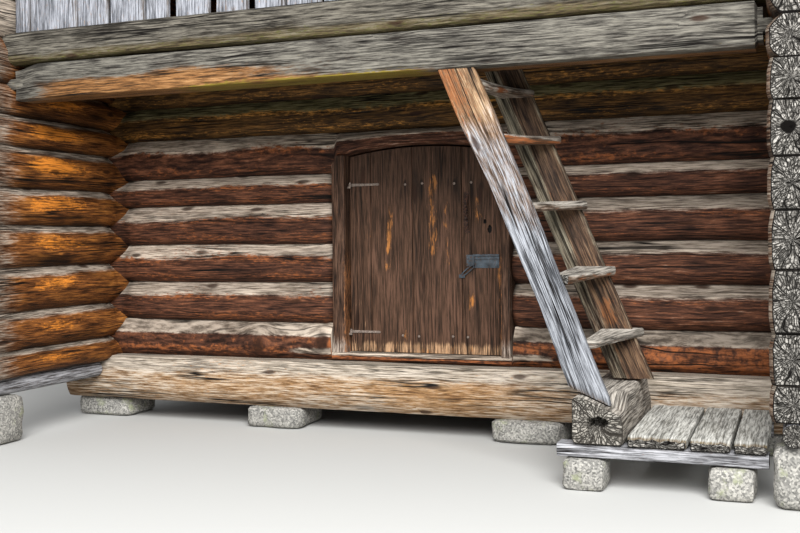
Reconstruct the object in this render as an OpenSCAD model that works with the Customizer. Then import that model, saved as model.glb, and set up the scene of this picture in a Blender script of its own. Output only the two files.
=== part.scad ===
// Two-storey log storehouse: a recessed ground storey with a low plank door,
// a boarded loft that oversails the recess, and a ladder stair up to the loft.
// X runs to the right along the front, Y runs back from the front, Z is up.
// The origin is the middle of the plan at the underside of the foundation stones.

/* [Plan] */
// Width over the faces of the side walls
body_w = 4860; // [4400:10:5600]
// Thickness of the wall logs
log_t = 220; // [190:5:250]
// Depth of the open recess, from the log ends back to the front wall
recess_d = 1290; // [1200:10:1500]
// Clear depth of the ground room
room_d = 2950; // [2200:10:3600]
// How far the log heads run past a crossing
head_len = 170; // [120:5:220]
// How far a log face bulges between its seams
log_bulge = 35; // [15:1:45]
// Clearance between pieces that bear on each other
fit = 0.3; // [0.2:0.05:0.5]

/* [Log courses] */
// Height of the foundation stones under the front and rear sills
stone_h = 140; // [100:5:250]
// Length of the largest foundation stones
stone_len = 520; // [400:10:560]
// Width of the largest foundation stones
stone_wid = 420; // [340:10:440]
// Heights of the front and rear wall logs, from the sill up to the eaves plate
course_h = [300, 250, 270, 260, 270, 195, 275, 230, 270, 220, 250, 250, 250, 250, 250, 250, 250];
// Share of each of those logs at which the side wall has its own seam
seam_share = [0.88, 0.52, 0.44, 0.5, 0.51, 0.55, 0.62, 0.37, 0.19, 0.32];
// The same share for the logs above those
seam_share_up = 0.4; // [0.3:0.05:0.6]
// Number of logs in the recessed front wall
front_courses = 9; // [9:1:9]
// Least height of one log in the gables
gable_log_h = 250; // [220:10:280]
// How far the front sill stands out past the wall above it
sill_proud = 150; // [60:5:180]
// Diameter of the round poles under the side walls
pole_d = 112; // [90:1:120]

/* [Door] */
// Left edge of the door leaf from the middle of the front
leaf_x = -440; // [-600:5:-300]
// Width of the door leaf
leaf_w = 1040; // [900:5:1100]
// Thickness of the door leaf
leaf_t = 38; // [28:1:45]
// Height of the notched threshold above the underside of the stones
threshold_z = 500; // [480:5:540]
// Height of the arch's spring above the bed of the lintel log
spring_cut = 115; // [70:5:125]
// Rise of the arch cut into the lintel log
arch_rise = 60; // [30:5:90]
// Width of the left jamb plank
jamb_left_w = 100; // [70:5:110]
// Width of the right jamb plank
jamb_right_w = 68; // [55:1:110]
// Depth of the leaf's face behind the wall face
leaf_recess = 75; // [60:5:100]
// Gap at the sides and the foot of the door leaf
leaf_gap = 6; // [5:0.5:8]
// Gap over the arched head of the leaf, so that it swings out clear of the lintel
head_gap = 18; // [17:1:25]
// Width of a ledge across the back of the leaf
ledge_w = 120; // [90:5:150]
// Thickness of a ledge
ledge_t = 32; // [25:1:40]
// Middle height of the lower ledge and hinge
ledge_low_z = 635; // [610:5:720]
// Middle height of the upper ledge and hinge
ledge_high_z = 1605; // [1400:5:1640]
// Length of a strap hinge on the leaf
strap_len = 215; // [150:5:300]
// Height of a strap hinge
strap_h = 18; // [14:1:30]
// Diameter of a hinge pintle
pintle_d = 12; // [10:1:14]
// Distance of the pull handle from the right edge of the leaf
handle_in = 225; // [200:5:320]
// Middle height of the pull handle
handle_z = 1410; // [1250:5:1450]
// Length of the pull handle
handle_len = 264; // [200:4:300]
// Distance of the lock plate's right end from the right edge of the leaf
lock_in = 16; // [10:2:90]
// Middle height of the lock plate
lock_z = 1100; // [1000:2:1150]
// Length of the lock plate
lock_len = 214; // [160:2:240]
// Height of the lock plate
lock_h = 88; // [60:2:110]

/* [Gallery front] */
// Distance of the front beam's face from the front wall's face
beam_out = 1100; // [1050:5:1150]
// Depth of the front beam
beam_t = 210; // [180:5:230]
// Height of the front beam
beam_h = 220; // [190:5:230]
// Height of the sill beam on top of it
gallery_sill_h = 206; // [180:2:220]
// How far the sill beam stands above the underside of the loft floor
sill_over = 96; // [80:2:110]
// Depth of the sill beam
gallery_sill_t = 240; // [200:5:250]
// Thickness of the front boards
board_t = 30; // [22:1:38]
// Widths of the front boards from left to right, begun again where they run out
board_w = [112, 352, 220, 245, 162, 230, 210, 197, 222, 215, 255, 204, 262, 186, 240, 208, 228];
// Gaps after those boards
board_gap = [8, 5, 14, 6, 46, 44, 38, 5, 8, 6, 10, 8, 6, 12, 5, 9, 7];

/* [Floors] */
// Thickness of the loft floor planks
loft_plank_t = 45; // [35:1:55]
// Width of a loft floor plank
loft_plank_w = 270; // [200:5:320]
// Height of a loft joist
joist_h = 190; // [150:5:210]
// Width of a loft joist
joist_w = 170; // [140:5:200]
// Thickness of the ground floor planks
ground_plank_t = 50; // [40:1:60]
// Diameter of the sleepers under the ground floor
sleeper_d = 200; // [160:5:220]

/* [Stair] */
// Distance of the near stringer's foot from the right wall
stair_in = 940; // [900:5:1010]
// Angle of the stair from the level
stair_angle = 67.5; // [65:0.5:69]
// Width of the near stringer
near_w = 190; // [170:5:210]
// Width of the far stringer
far_w = 210; // [190:5:240]
// Thickness of the stringers
stringer_t = 55; // [45:1:65]
// Distance of the near stringer's face from the front wall's face
near_out = 1085; // [1060:5:1095]
// Distance of the far stringer's face from the front wall's face
far_out = 500; // [450:5:560]
// Tops of the treads above the underside of the stones
tread_z = [730, 1070, 1435, 1800, 2080];
// Thickness of a tread
tread_t = 48; // [40:1:55]
// Depth of a tread from its nose to its back edge
tread_d = 250; // [220:5:270]
// How far a tread overhangs the right edge of the far stringer
nose = 42; // [20:2:60]
// Slope of the cut across the near stringer's foot
foot_angle = 24; // [0:1:28]
// Depth of the housings that hold the treads
housing_d = 25; // [15:1:30]

/* [Platform] */
// Top of the hewn block that carries the stair
block_z = 470; // [440:5:500]
// Width of the block
block_w = 260; // [240:5:280]
// Top of the platform planks
platform_z = 280; // [270:5:300]
// Thickness of the platform planks
platform_t = 52; // [45:1:60]
// Height of the front bearer under the planks
bearer_h = 75; // [60:5:110]
// Widths of the platform planks from the block to the right wall
platform_w = [296, 200, 152];
// How far the planks run out from the front wall
platform_out = 1150; // [1100:5:1250]

/* [Roof] */
// Rise of the roof for one unit of run
roof_rise = 0.5; // [0.45:0.01:0.6]
// Thickness of the boarded roof
roof_t = 64; // [50:1:90]
// How far the roof runs past the side walls
verge_out = 450; // [350:10:600]
// How far the roof runs past the front and rear wall faces
eave_out = 400; // [300:10:550]
// Diameter of the roof purlins
purlin_d = 230; // [200:5:260]
// Width of the verge boards and ridge boards
trim_w = 190; // [150:5:230]
// Thickness of the verge boards and ridge boards
trim_t = 28; // [22:1:35]

/* [Hidden] */
$fn = 64;

plate = len(course_h) - 1;
depth = recess_d + room_d + 2 * log_t + head_len;
ends_y = -depth / 2;
front_y = ends_y + recess_d;
front_in_y = front_y + log_t;
rear_in_y = front_in_y + room_d;
rear_y = rear_in_y + log_t;
side_x = body_w / 2 - log_t / 2;
inner_x = body_w / 2 - log_t;
cross_x = body_w / 2 + head_len;

function sum_to(list, n) = n <= 0 ? 0 : list[n - 1] + sum_to(list, n - 1);
function share(i) = i < len(seam_share) ? seam_share[i] : seam_share_up;
function cross_seam(i) = stone_h + sum_to(course_h, i);
function side_seam(i) = cross_seam(i) + share(i) * course_h[i];
function cross_neck_low(i) = i == 0 ? cross_seam(0) : (cross_seam(i) + side_seam(i)) / 2;
function cross_neck_high(i) = (side_seam(i) + cross_seam(i + 1)) / 2;

eave_y = rear_y;
eave_z = cross_seam(plate + 1) - 30;
ridge_z = eave_z + eave_y * roof_rise;
roof_angle = atan(roof_rise);
loft_z = cross_seam(front_courses);
loft_top = loft_z + loft_plank_t;
plate_y = eave_y - log_t / 2;

beam_y = front_y - beam_out;
gallery_sill_y = -eave_y;
gallery_top = loft_z + sill_over;
beam_top = gallery_top - gallery_sill_h;
beam_z = beam_top - beam_h;
tenon_low = side_seam(front_courses - 1) - 46;
tenon_high = tenon_low + 70;
tenon_y = beam_y + 20;
tenon_t = 130;
board_y = beam_y + 40;

leaf_y = front_y + leaf_recess;
opening_x0 = leaf_x - leaf_gap;
opening_x1 = leaf_x + leaf_w + leaf_gap;
eye_wall = 4;
eye_r = pintle_d / 2 + eye_wall;
hinge_x = opening_x0 + eye_r + 5;
hinge_y = leaf_y - eye_r - 3;
jamb_x0 = opening_x0 - jamb_left_w;
jamb_x1 = opening_x1 + jamb_right_w;
lintel = 6;
spring_z = cross_seam(lintel) + spring_cut;
opening_half = (opening_x1 - opening_x0) / 2;
arch_r = (opening_half * opening_half + arch_rise * arch_rise) / (2 * arch_rise);

stair_run = 1 / tan(stair_angle);
stair_foot_x = inner_x - stair_in;
block_x0 = stair_foot_x + 15;
far_shift = 105;
near_y = front_y - near_out;
far_y = front_y - far_out;
foot_z = block_z + 26;

// Outline of a hewn log: two bulging faces between a flat bed and a flat top
module log_section(h, t) {
    b = min(log_bulge, h / 4);
    r = (h * h / 4 + b * b) / (2 * b);
    intersection() {
        translate([t / 2 - r, h / 2]) circle(r, $fn = 180);
        translate([r - t / 2, h / 2]) circle(r, $fn = 180);
        translate([-t / 2, 0]) square([t, h]);
    }
}

// A log that lies left to right, its middle plane at y
module log_x(x0, x1, y, z0, z1, t = log_t) {
    translate([x0, y, z0 + fit / 2])
        rotate([90, 0, 90])
            linear_extrude(x1 - x0) log_section(z1 - z0 - fit, t);
}

// A log that lies front to back, its middle plane at x
module log_y(x, y0, y1, z0, z1) {
    translate([x, y1, z0 + fit / 2])
        rotate([90, 0, 0])
            linear_extrude(y1 - y0) log_section(z1 - z0 - fit, log_t);
}

// A box given by its two corners
module box(a, b) {
    translate(a) cube(b - a);
}

// A squared timber that lies left to right, its lower and upper front arrises and its rear
// arrises hewn off
module timber_x(a, b, low_c, top_c, back_c) {
    d = b[1] - a[1];
    h = b[2] - a[2];
    translate(a)
        rotate([90, 0, 90])
            linear_extrude(b[0] - a[0])
                polygon([[low_c, 0], [d - back_c, 0], [d, back_c], [d, h - back_c], [d - back_c, h],
                    [top_c, h], [0, h - top_c], [0, low_c]]);
}

// What a cross wall log loses where the two side walls pass over and under it
module cross_notches(i, y, deep_front = 0) {
    for (s = [-1, 1]) {
        x0 = s * side_x - log_t / 2 - fit;
        x1 = s * side_x + log_t / 2 + fit;
        if (i > 0)
            box([x0, y - log_t, cross_seam(i) - 1], [x1, y + log_t, cross_neck_low(i) + fit / 2]);
        box([x0, y - log_t, cross_neck_high(i) - fit / 2], [x1, y + log_t, cross_seam(i + 1) + 100]);
        if (deep_front > 0)
            box([x0, y - log_t - deep_front, side_seam(i) - fit / 2],
                [x1, y - log_t / 2 - fit, cross_seam(i + 1) + 1]);
    }
}

// One full log of the front or rear wall
module cross_log(i, y) {
    difference() {
        log_x(-cross_x, cross_x, y, cross_seam(i), cross_seam(i + 1));
        cross_notches(i, y);
    }
}

// Space under the two roof slopes
module under_roof(x0, x1) {
    translate([x0, 0, 0])
        rotate([90, 0, 90])
            linear_extrude(x1 - x0)
                polygon([[0, ridge_z - fit], [-2 * eave_y, ridge_z - 2 * eave_y * roof_rise - fit],
                    [-2 * eave_y, 0], [2 * eave_y, 0],
                    [2 * eave_y, ridge_z - 2 * eave_y * roof_rise - fit]]);
}

// What a side wall log loses where a cross wall passes over and under it
module side_notch(y, low, high, z0, z1) {
    y0 = y - log_t / 2 - fit;
    y1 = y + log_t / 2 + fit;
    x0 = -log_t;
    if (low > z0) box([x0, y0, z0 - 1], [-x0, y1, low + fit / 2]);
    if (high < z1) box([x0, y0, high - fit / 2], [-x0, y1, z1 + 1]);
}

// Room left in the side walls for the front beam's tenons and the gallery sill
module beam_sockets() {
    box([-log_t, tenon_y - fit, tenon_low - fit], [log_t, tenon_y + tenon_t + fit, tenon_high + fit]);
    box([-log_t, gallery_sill_y - fit, beam_top],
        [log_t, gallery_sill_y + gallery_sill_t + fit, gallery_top + fit]);
}

// One full log of a side wall, its middle plane at x = 0 and the outside towards +X
module side_log(k) {
    z0 = side_seam(k);
    z1 = side_seam(k + 1);
    front_high = k + 1 < front_courses ? cross_neck_low(k + 1) : z1;
    plate_high = k + 1 == plate ? cross_neck_low(plate) : z1;
    difference() {
        log_y(0, ends_y, -ends_y, z0, z1);
        if (k < front_courses)
            side_notch(front_y + log_t / 2, cross_neck_high(k), front_high, z0, z1);
        side_notch(rear_y - log_t / 2, cross_neck_high(k), cross_neck_low(k + 1), z0, z1);
        side_notch(-plate_y, z0, plate_high, z0, z1);
        if (z1 > tenon_low && z0 < gallery_top) beam_sockets();
        if (z1 > loft_z - joist_h && z0 < loft_z) joist_sockets();
    }
}

// Puts a wall drawn at x = 0 on the left or the right side of the building
module on_side(side) {
    translate([side * side_x, 0, 0])
        mirror([side < 0 ? 1 : 0, 0, 0])
            children();
}

module side_wall(side, first, last) {
    on_side(side)
        for (k = [first:last]) side_log(k);
}

// Gable logs, shortened one after another by the slopes. The topmost carries the ridge
// purlin, and those above the side purlins end against them.
module gable(side) {
    base = side_seam(plate);
    count = floor((purlin_z(0) - base) / gable_log_h);
    step = (purlin_z(0) - base) / count;
    on_side(side)
        difference() {
            intersection() {
                for (j = [0:count - 1]) {
                    half = base + (j + 0.5) * step > purlin_z(purlin_y) ? purlin_y : -ends_y;
                    log_y(0, -half, half, base + j * step, base + (j + 1) * step);
                }
                under_roof(-log_t, log_t);
            }
            for (s = [-1, 1])
                side_notch(s * plate_y, cross_neck_high(plate), ridge_z, base, ridge_z);
            for (y = [-purlin_y, 0, purlin_y])
                translate([-log_t, y, purlin_z(y)])
                    rotate([0, 90, 0]) cylinder(h = 2 * log_t, d = purlin_d + 2 * fit);
        }
}

purlin_y = eave_y / 2;
function purlin_z(y) = ridge_z - abs(y) * roof_rise - purlin_d / 2 / cos(roof_angle) - fit;

// A foundation stone with a flat bed and top
module stone(x, y, w, d, h, turn = 0) {
    c = 0.22;
    translate([x, y, 0])
        rotate(turn)
            linear_extrude(h - fit / 2)
                polygon([[-w / 2, -d * c], [-w * c, -d / 2], [w * 0.3, -d * 0.46], [w / 2, -d * 0.1],
                    [w * 0.42, d * 0.36], [w * 0.1, d / 2], [-w * 0.36, d * 0.42]]);
}

module foundation_stones() {
    pole_h = side_seam(0) - pole_d;
    mid_y = (front_in_y + rear_in_y) / 2;
    color("dimgray") {
        for (s = [-1, 1]) {
            stone(s * side_x, rear_y - log_t / 2, stone_len, stone_wid, stone_h, 10);
            stone(s * side_x, front_y + log_t / 2, stone_len * 0.96, stone_wid * 0.9, stone_h, 190);
            stone(s * (side_x + 45), ends_y + 180, stone_len * 0.58, stone_wid * 0.69, pole_h, 90 + 90 * s);
            stone(s * side_x, mid_y, stone_len * 0.77, stone_wid, pole_h, 60 * s);
            stone(s * inner_x * 0.36, rear_y - log_t / 2, stone_len * 0.88, stone_wid * 0.86, stone_h, 170);
        }
        stone(-inner_x * 0.42, front_y + 60, stone_len * 0.85, stone_wid * 0.95, stone_h, 20);
        stone(inner_x * 0.36, front_y + 60, stone_len * 0.88, stone_wid, stone_h, 150);
        for (x = bearer_stones, y = bearer_rows)
            stone(x, min(y + bearer_t / 2, platform_y1 - 135), stone_len * 0.44, stone_wid * 0.48, bearer_z,
                x - y);
    }
}

// Round poles that bed the side walls between the crossings
module sill_poles() {
    z = side_seam(0) - pole_d / 2 - fit / 2;
    color("tan")
        for (s = [-1, 1], run = [[ends_y + 5, front_y - sill_proud - 5], [front_in_y + 5, rear_in_y - 5]])
            translate([s * side_x, run[1], z])
                rotate([90, 0, 0]) cylinder(h = run[1] - run[0], d = pole_d - fit);
}

module front_sill() {
    color("burlywood")
        difference() {
            log_x(-cross_x, cross_x, front_y + log_t / 2 - sill_proud / 2, cross_seam(0),
                cross_seam(1), log_t + sill_proud);
            cross_notches(0, front_y + log_t / 2, sill_proud);
            sleeper_sockets();
        }
}

// Space cut through the front wall for the jambs and the leaf
module door_opening() {
    box([jamb_x0 - fit, front_y - 60, threshold_z], [jamb_x1 + fit, front_in_y + 60, spring_z]);
    intersection() {
        box([opening_x0, front_y - 60, spring_z - 1],
            [opening_x1, front_in_y + 60, spring_z + arch_rise + 1]);
        translate([(opening_x0 + opening_x1) / 2, front_y - 60, spring_z + arch_rise - arch_r])
            rotate([-90, 0, 0]) cylinder(h = log_t + 120, r = arch_r, $fn = 360);
    }
}

module front_cut_log(i) {
    difference() {
        cross_log(i, front_y + log_t / 2);
        door_opening();
    }
}

module front_half_logs(x0, x1) {
    intersection() {
        for (i = [2:5]) front_cut_log(i);
        box([x0, front_y - log_t, 0], [x1, front_in_y + log_t, loft_z]);
    }
}

module threshold_log() {
    color("sienna") front_cut_log(1);
}

module front_wall_left() {
    color("sienna") front_half_logs(-cross_x - 1, leaf_x);
}

module front_wall_right() {
    color("sienna") front_half_logs(leaf_x, cross_x + 1);
}

module lintel_log() {
    color("sienna") front_cut_log(6);
}

module front_wall_top() {
    color("saddlebrown")
        for (i = [7:front_courses - 1]) cross_log(i, front_y + log_t / 2);
}

module rear_wall_ground() {
    color("sienna")
        difference() {
            for (i = [0:front_courses - 1]) cross_log(i, rear_y - log_t / 2);
            sleeper_sockets();
        }
}

module rear_wall_upper() {
    color("sienna") {
        for (i = [front_courses:plate - 1]) cross_log(i, rear_y - log_t / 2);
        plate_log(plate_y);
    }
}

// Eaves plate: the topmost cross log, bevelled to the roof and run out under the verges
module plate_log(y) {
    plate_x = body_w / 2 + verge_out - 20;
    difference() {
        intersection() {
            log_x(-plate_x, plate_x, y, cross_seam(plate), cross_seam(plate + 1) + 60);
            under_roof(-plate_x - 1, plate_x + 1);
        }
        cross_notches(plate, y);
    }
}

module left_wall_ground() {
    color("peru") side_wall(-1, 0, front_courses - 1);
}

module right_wall_ground() {
    color("peru") side_wall(1, 0, front_courses - 1);
}

module left_wall_upper() {
    color("peru") side_wall(-1, front_courses, plate - 1);
}

module right_wall_upper() {
    color("peru") side_wall(1, front_courses, plate - 1);
}

module left_gable() {
    color("peru") gable(-1);
}

module right_gable() {
    color("peru") gable(1);
}

// Front beam with a narrower tenon through each side wall
module front_beam() {
    color("silver") {
        timber_x([-inner_x + fit, beam_y, beam_z], [inner_x - fit, beam_y + beam_t, beam_top], 10, 22, 10);
        box([-body_w / 2 - 60, tenon_y, tenon_low], [body_w / 2 + 60, tenon_y + tenon_t, tenon_high]);
    }
}

// Sill beam, with a groove along its back that holds the front ends of the floor planks
groove = 45;

module gallery_sill() {
    color("silver")
        difference() {
            timber_x([-cross_x, gallery_sill_y, beam_top + fit],
                [cross_x, gallery_sill_y + gallery_sill_t, gallery_top], 42, 30, 14);
            box([-inner_x, gallery_sill_y + gallery_sill_t - groove, loft_z - fit],
                [inner_x, gallery_sill_y + gallery_sill_t + 1, loft_top + fit]);
        }
}

// Left edge of front board i, and how many boards close the front
function board_at(i) = i <= 0 ? 0 :
    board_at(i - 1) + board_w[(i - 1) % len(board_w)] + board_gap[(i - 1) % len(board_gap)];
board_room = 2 * inner_x - 8;
board_count = len([for (i = [0:40]) if (board_at(i) < board_room - 100) i]);

module gallery_boards() {
    color("lightsteelblue")
        for (i = [0:board_count - 1]) {
            x1 = i < board_count - 1 ? board_at(i) + board_w[i % len(board_w)] : board_room;
            translate([board_at(i) - board_room / 2, board_y, gallery_top + fit])
                cube([x1 - board_at(i), board_t, cross_seam(plate) - gallery_top - 2 * fit]);
        }
}

module front_plate() {
    color("sienna") plate_log(-plate_y);
}

// Middles of the joists from front to back
joist_places = [front_in_y + room_d * 0.3, front_in_y + room_d * 0.65, rear_in_y - joist_w / 2 - 10];
joist_seat = 90;

module joists(grow) {
    for (y = joist_places)
        box([-inner_x - joist_seat - grow, y - joist_w / 2 - grow, loft_z - joist_h - grow],
            [inner_x + joist_seat + grow, y + joist_w / 2 + grow, loft_z + grow]);
}

// Sockets for the joist ends, in the inner face of a side wall drawn at x = 0
module joist_sockets() {
    translate([-side_x, 0, 0]) joists(fit);
}

module loft_joists() {
    color("sienna") joists(0);
}

// Stairwell in the loft floor: the far stringer leans on its left edge
well_len = 1050;
well_x0 = far_left(loft_top) - fit;
well_x1 = well_x0 + well_len;
well_y1 = front_y - 260;

module loft_floor() {
    planks = round(2 * inner_x / loft_plank_w);
    step = (2 * inner_x - 10) / planks;
    y0 = gallery_sill_y + gallery_sill_t - groove + fit;
    color("tan")
        difference() {
            for (i = [0:planks - 1])
                box([-inner_x + 5 + i * step, y0, loft_z + fit],
                    [-inner_x + 5 + (i + 1) * step - 2, rear_in_y - 5, loft_top]);
            box([well_x0, y0 - 10, loft_z - 10], [well_x1, well_y1, loft_top + 10]);
        }
}

sleeper_places = [-inner_x * 0.64, 0, inner_x * 0.64];
sleeper_seat = 90;
sleeper_z = cross_seam(1) - ground_plank_t - sleeper_d / 2;

module sleepers(grow) {
    for (x = sleeper_places)
        translate([x, rear_in_y + sleeper_seat + grow, sleeper_z])
            rotate([90, 0, 0])
                cylinder(h = room_d + 2 * sleeper_seat + 2 * grow, d = sleeper_d + 2 * grow);
}

module sleeper_sockets() {
    sleepers(fit);
}

module floor_sleepers() {
    color("tan") sleepers(0);
}

module ground_floor() {
    planks = round(room_d / 260);
    step = (room_d - 10) / planks;
    z0 = cross_seam(1) - ground_plank_t + fit;
    color("tan")
        for (i = [0:planks - 1])
            box([-inner_x + 10, front_in_y + 5 + i * step, z0],
                [inner_x - 10, front_in_y + 5 + (i + 1) * step - 2, z0 + ground_plank_t - fit]);
}

module door_jambs() {
    color("rosybrown")
        for (run = [[jamb_x0, opening_x0], [opening_x1, jamb_x1]])
            box([run[0], front_y + 5, threshold_z + fit], [run[1], front_in_y - 5, spring_z - fit]);
}

// Outline of the leaf with its arched head
module door_leaf() {
    color("saddlebrown")
        intersection() {
            box([leaf_x, leaf_y, threshold_z + leaf_gap],
                [leaf_x + leaf_w, leaf_y + leaf_t, spring_z + arch_rise]);
            translate([leaf_x + leaf_w / 2, leaf_y - 1, spring_z + arch_rise - head_gap - arch_r])
                rotate([-90, 0, 0]) cylinder(h = leaf_t + 2, r = arch_r, $fn = 360);
        }
}

module door_ledges() {
    color("saddlebrown")
        for (z = [ledge_low_z, ledge_high_z])
            box([leaf_x + 40, leaf_y + leaf_t + fit, z - ledge_w / 2],
                [leaf_x + leaf_w - 40, leaf_y + leaf_t + ledge_t, z + ledge_w / 2]);
}

strap_t = 5;
eye_play = 0.08;

// Strap hinges: an eye round the pintle and a short band nailed on the face
module door_straps() {
    color("dimgray")
        for (z = [ledge_low_z, ledge_high_z])
            difference() {
                union() {
                    translate([hinge_x, hinge_y, z - strap_h / 2]) cylinder(h = strap_h, r = eye_r);
                    box([hinge_x, leaf_y - fit - strap_t, z - strap_h / 2],
                        [leaf_x + strap_len, leaf_y - fit, z + strap_h / 2]);
                }
                translate([hinge_x, hinge_y, z - strap_h])
                    cylinder(h = 2 * strap_h, r = pintle_d / 2 + eye_play);
            }
}

// Pintles: a pin under each eye, on an arm that comes out of the left jamb
module door_pintles() {
    arm = pintle_d;
    color("dimgray")
        for (z = [ledge_low_z, ledge_high_z])
            translate([hinge_x, hinge_y, z - strap_h / 2]) {
                translate([0, 0, -arm - 1]) cylinder(h = arm + strap_h + 9, r = pintle_d / 2);
                translate([opening_x0 + fit - hinge_x, -arm / 2, -arm - 1])
                    cube([hinge_x - opening_x0 - fit, arm, arm]);
            }
}

module door_handle() {
    x = leaf_x + leaf_w - handle_in;
    z = handle_z;
    color("sienna")
        for (s = [-1, 1])
            translate([x, leaf_y - 24, z + s * handle_len * 0.36])
                rotate([-90, 0, 0]) cylinder(h = 24 - fit, d = 12);
    color("sienna")
        translate([x, leaf_y - 26, z - handle_len * 0.42]) cylinder(h = handle_len * 0.84, d = 13);
    color("sienna")
        for (s = [-1, 1])
            box([x - 11, leaf_y - 4, z + s * handle_len * 0.4 - handle_len * 0.1],
                [x + 11, leaf_y - fit, z + s * handle_len * 0.4 + handle_len * 0.1]);
}

module door_lock() {
    x1 = leaf_x + leaf_w - lock_in;
    x0 = x1 - lock_len;
    z0 = lock_z - lock_h / 2;
    z1 = lock_z + lock_h / 2;
    link = lock_len * 0.62;
    color("slategray") {
        box([x0 + lock_len * 0.2, leaf_y - 4, z0], [x1, leaf_y - fit, z1]);
        box([x0, leaf_y - 12, z1 - 26], [x1, leaf_y - fit, z1 - 4]);
        box([x0, leaf_y - 10, z0 + 10], [x0 + lock_len * 0.26, leaf_y - fit, z1 - 5]);
        translate([x0 + lock_len * 0.24, leaf_y - fit, z0 + 18])
            rotate([90, 141, 0])
                difference() {
                    translate([0, -15, 0]) cube([link, 30, 9]);
                    translate([8, -7, -1]) cube([link - 16, 14, 11]);
                }
    }
}

// A raking plank in the plane of the stair; x0 is its left edge at the height z_at
module rake(x0, z_at, w, z0, z1, y, t) {
    across = w / sin(stair_angle);
    translate([0, y + t, 0])
        rotate([90, 0, 0])
            linear_extrude(t)
                polygon([[x0 - (z0 - z_at) * stair_run, z0],
                    [x0 + across - (z0 - z_at) * stair_run, z0],
                    [x0 + across - (z1 - z_at) * stair_run, z1],
                    [x0 - (z1 - z_at) * stair_run, z1]]);
}

function near_left(z) = stair_foot_x - (z - block_z) * stair_run;
function far_left(z) = near_left(z) + far_shift;

// Treads: boards that are flush with the near stringer and overhang the far one. The lowest runs on
// through the far stringer. grow makes the room that the stringers leave for them.
module treads(grow) {
    y0 = near_y + stringer_t - housing_d - grow;
    y1 = far_y + housing_d + grow;
    tail = 55;
    for (z = tread_z) {
        near_x = near_left(z) + near_w / sin(stair_angle) + 4;
        far_x = far_left(z) + far_w / sin(stair_angle) + nose;
        back_x = far_x - tread_d;
        translate([0, 0, z - tread_t - grow])
            linear_extrude(tread_t + 2 * grow)
                polygon([[back_x - grow, y0], [near_x + grow, y0], [near_x + grow, near_y + stringer_t + 30],
                    [far_x + grow, far_y - 30], [far_x + grow, y1], [back_x - grow, y1]]);
        if (z == tread_z[0])
            box([far_x - tread_d * 0.6 - grow, y1 - 1, z - tread_t * 0.8 - grow],
                [far_x - 8 + grow, far_y + stringer_t + tail + grow, z + grow]);
    }
}

// Space above the sloping cut across the near stringer's foot, or below it
module foot_space(above) {
    open_front = above ? platform_out : 12;
    translate([near_left(foot_z), near_y - open_front, foot_z])
        rotate([0, foot_angle, 0])
            translate([-200, 0, above ? -fit : -300])
                cube([700, stringer_t + 8 + open_front, 300 + (above ? fit : 0)]);
}

module near_stringer() {
    color("silver")
        difference() {
            rake(stair_foot_x, block_z, near_w, block_z - 130, beam_z - fit, near_y, stringer_t);
            treads(fit);
            foot_space(false);
        }
}

module far_stringer() {
    color("peru")
        difference() {
            rake(stair_foot_x + far_shift, block_z, far_w, block_z + fit, loft_top, far_y, stringer_t);
            treads(fit);
        }
}

module stair_treads() {
    color("darkgray") treads(0);
}

bearer_top = platform_z - platform_t;
bearer_z = bearer_top - bearer_h;
platform_y0 = front_y - platform_out;
platform_y1 = front_y - sill_proud - 3;
bearer_t = 150;
bearer_x0 = block_x0 - 75;
bearer_rows = [platform_y0 + 5, platform_y1 - bearer_t - 10];
bearer_stones = [bearer_x0 + 140, inner_x - 170];

// Hewn block with a sloping seat for the near stringer
module stair_block() {
    h = block_z - bearer_top;
    color("gray")
        difference() {
            translate([block_x0 + block_w / 2, platform_y1, bearer_top + fit])
                rotate([90, 0, 0])
                    linear_extrude(platform_y1 - platform_y0)
                        intersection() {
                            translate([-block_w / 2, 0]) square([block_w, h - fit]);
                            translate([0, h * 0.35]) circle(block_w * 0.56);
                        }
            foot_space(true);
        }
}

module platform_planks() {
    color("gray")
        for (i = [0:len(platform_w) - 1]) {
            x0 = block_x0 + block_w + 4 + sum_to(platform_w, i);
            x1 = i == len(platform_w) - 1 ? inner_x - 5 : x0 + platform_w[i] - 4;
            box([x0, platform_y0, bearer_top + fit], [x1, platform_y1, platform_z]);
        }
}

module platform_bearers() {
    color("darkgray")
        for (y = bearer_rows)
            box([bearer_x0, y, bearer_z], [inner_x - 5, y + bearer_t, bearer_top]);
}

module purlin(y) {
    purlin_x = body_w / 2 + verge_out - 20;
    translate([-purlin_x, y, purlin_z(y)])
        rotate([0, 90, 0]) cylinder(h = 2 * purlin_x, d = purlin_d);
}

module ridge_purlin() {
    color("sienna") purlin(0);
}

module side_purlins() {
    color("sienna")
        for (s = [-1, 1]) purlin(s * purlin_y);
}

roof_x = body_w / 2 + verge_out;
roof_y = eave_y + eave_out;
roof_rise_t = roof_t / cos(roof_angle);

// One roof slope, drawn towards the rear
module roof_slope() {
    translate([-roof_x, 0, 0])
        rotate([90, 0, 90])
            linear_extrude(2 * roof_x)
                polygon([[fit, ridge_z], [fit, ridge_z + roof_rise_t],
                    [roof_y, ridge_z + roof_rise_t - roof_y * roof_rise],
                    [roof_y, ridge_z - roof_y * roof_rise]]);
}

module front_roof() {
    color("gray") mirror([0, 1, 0]) roof_slope();
}

module rear_roof() {
    color("gray") roof_slope();
}

// Boards that lie on the slopes over the ridge
module ridge_boards() {
    top = ridge_z + roof_rise_t + fit;
    color("darkgray")
        for (s = [0, 1])
            mirror([0, s, 0])
                translate([-roof_x, 0, 0])
                    rotate([90, 0, 90])
                        linear_extrude(2 * roof_x)
                            polygon([[fit / 2, top], [fit / 2, top + trim_t / cos(roof_angle)],
                                [trim_w, top + trim_t / cos(roof_angle) - trim_w * roof_rise],
                                [trim_w, top - trim_w * roof_rise]]);
}

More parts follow.
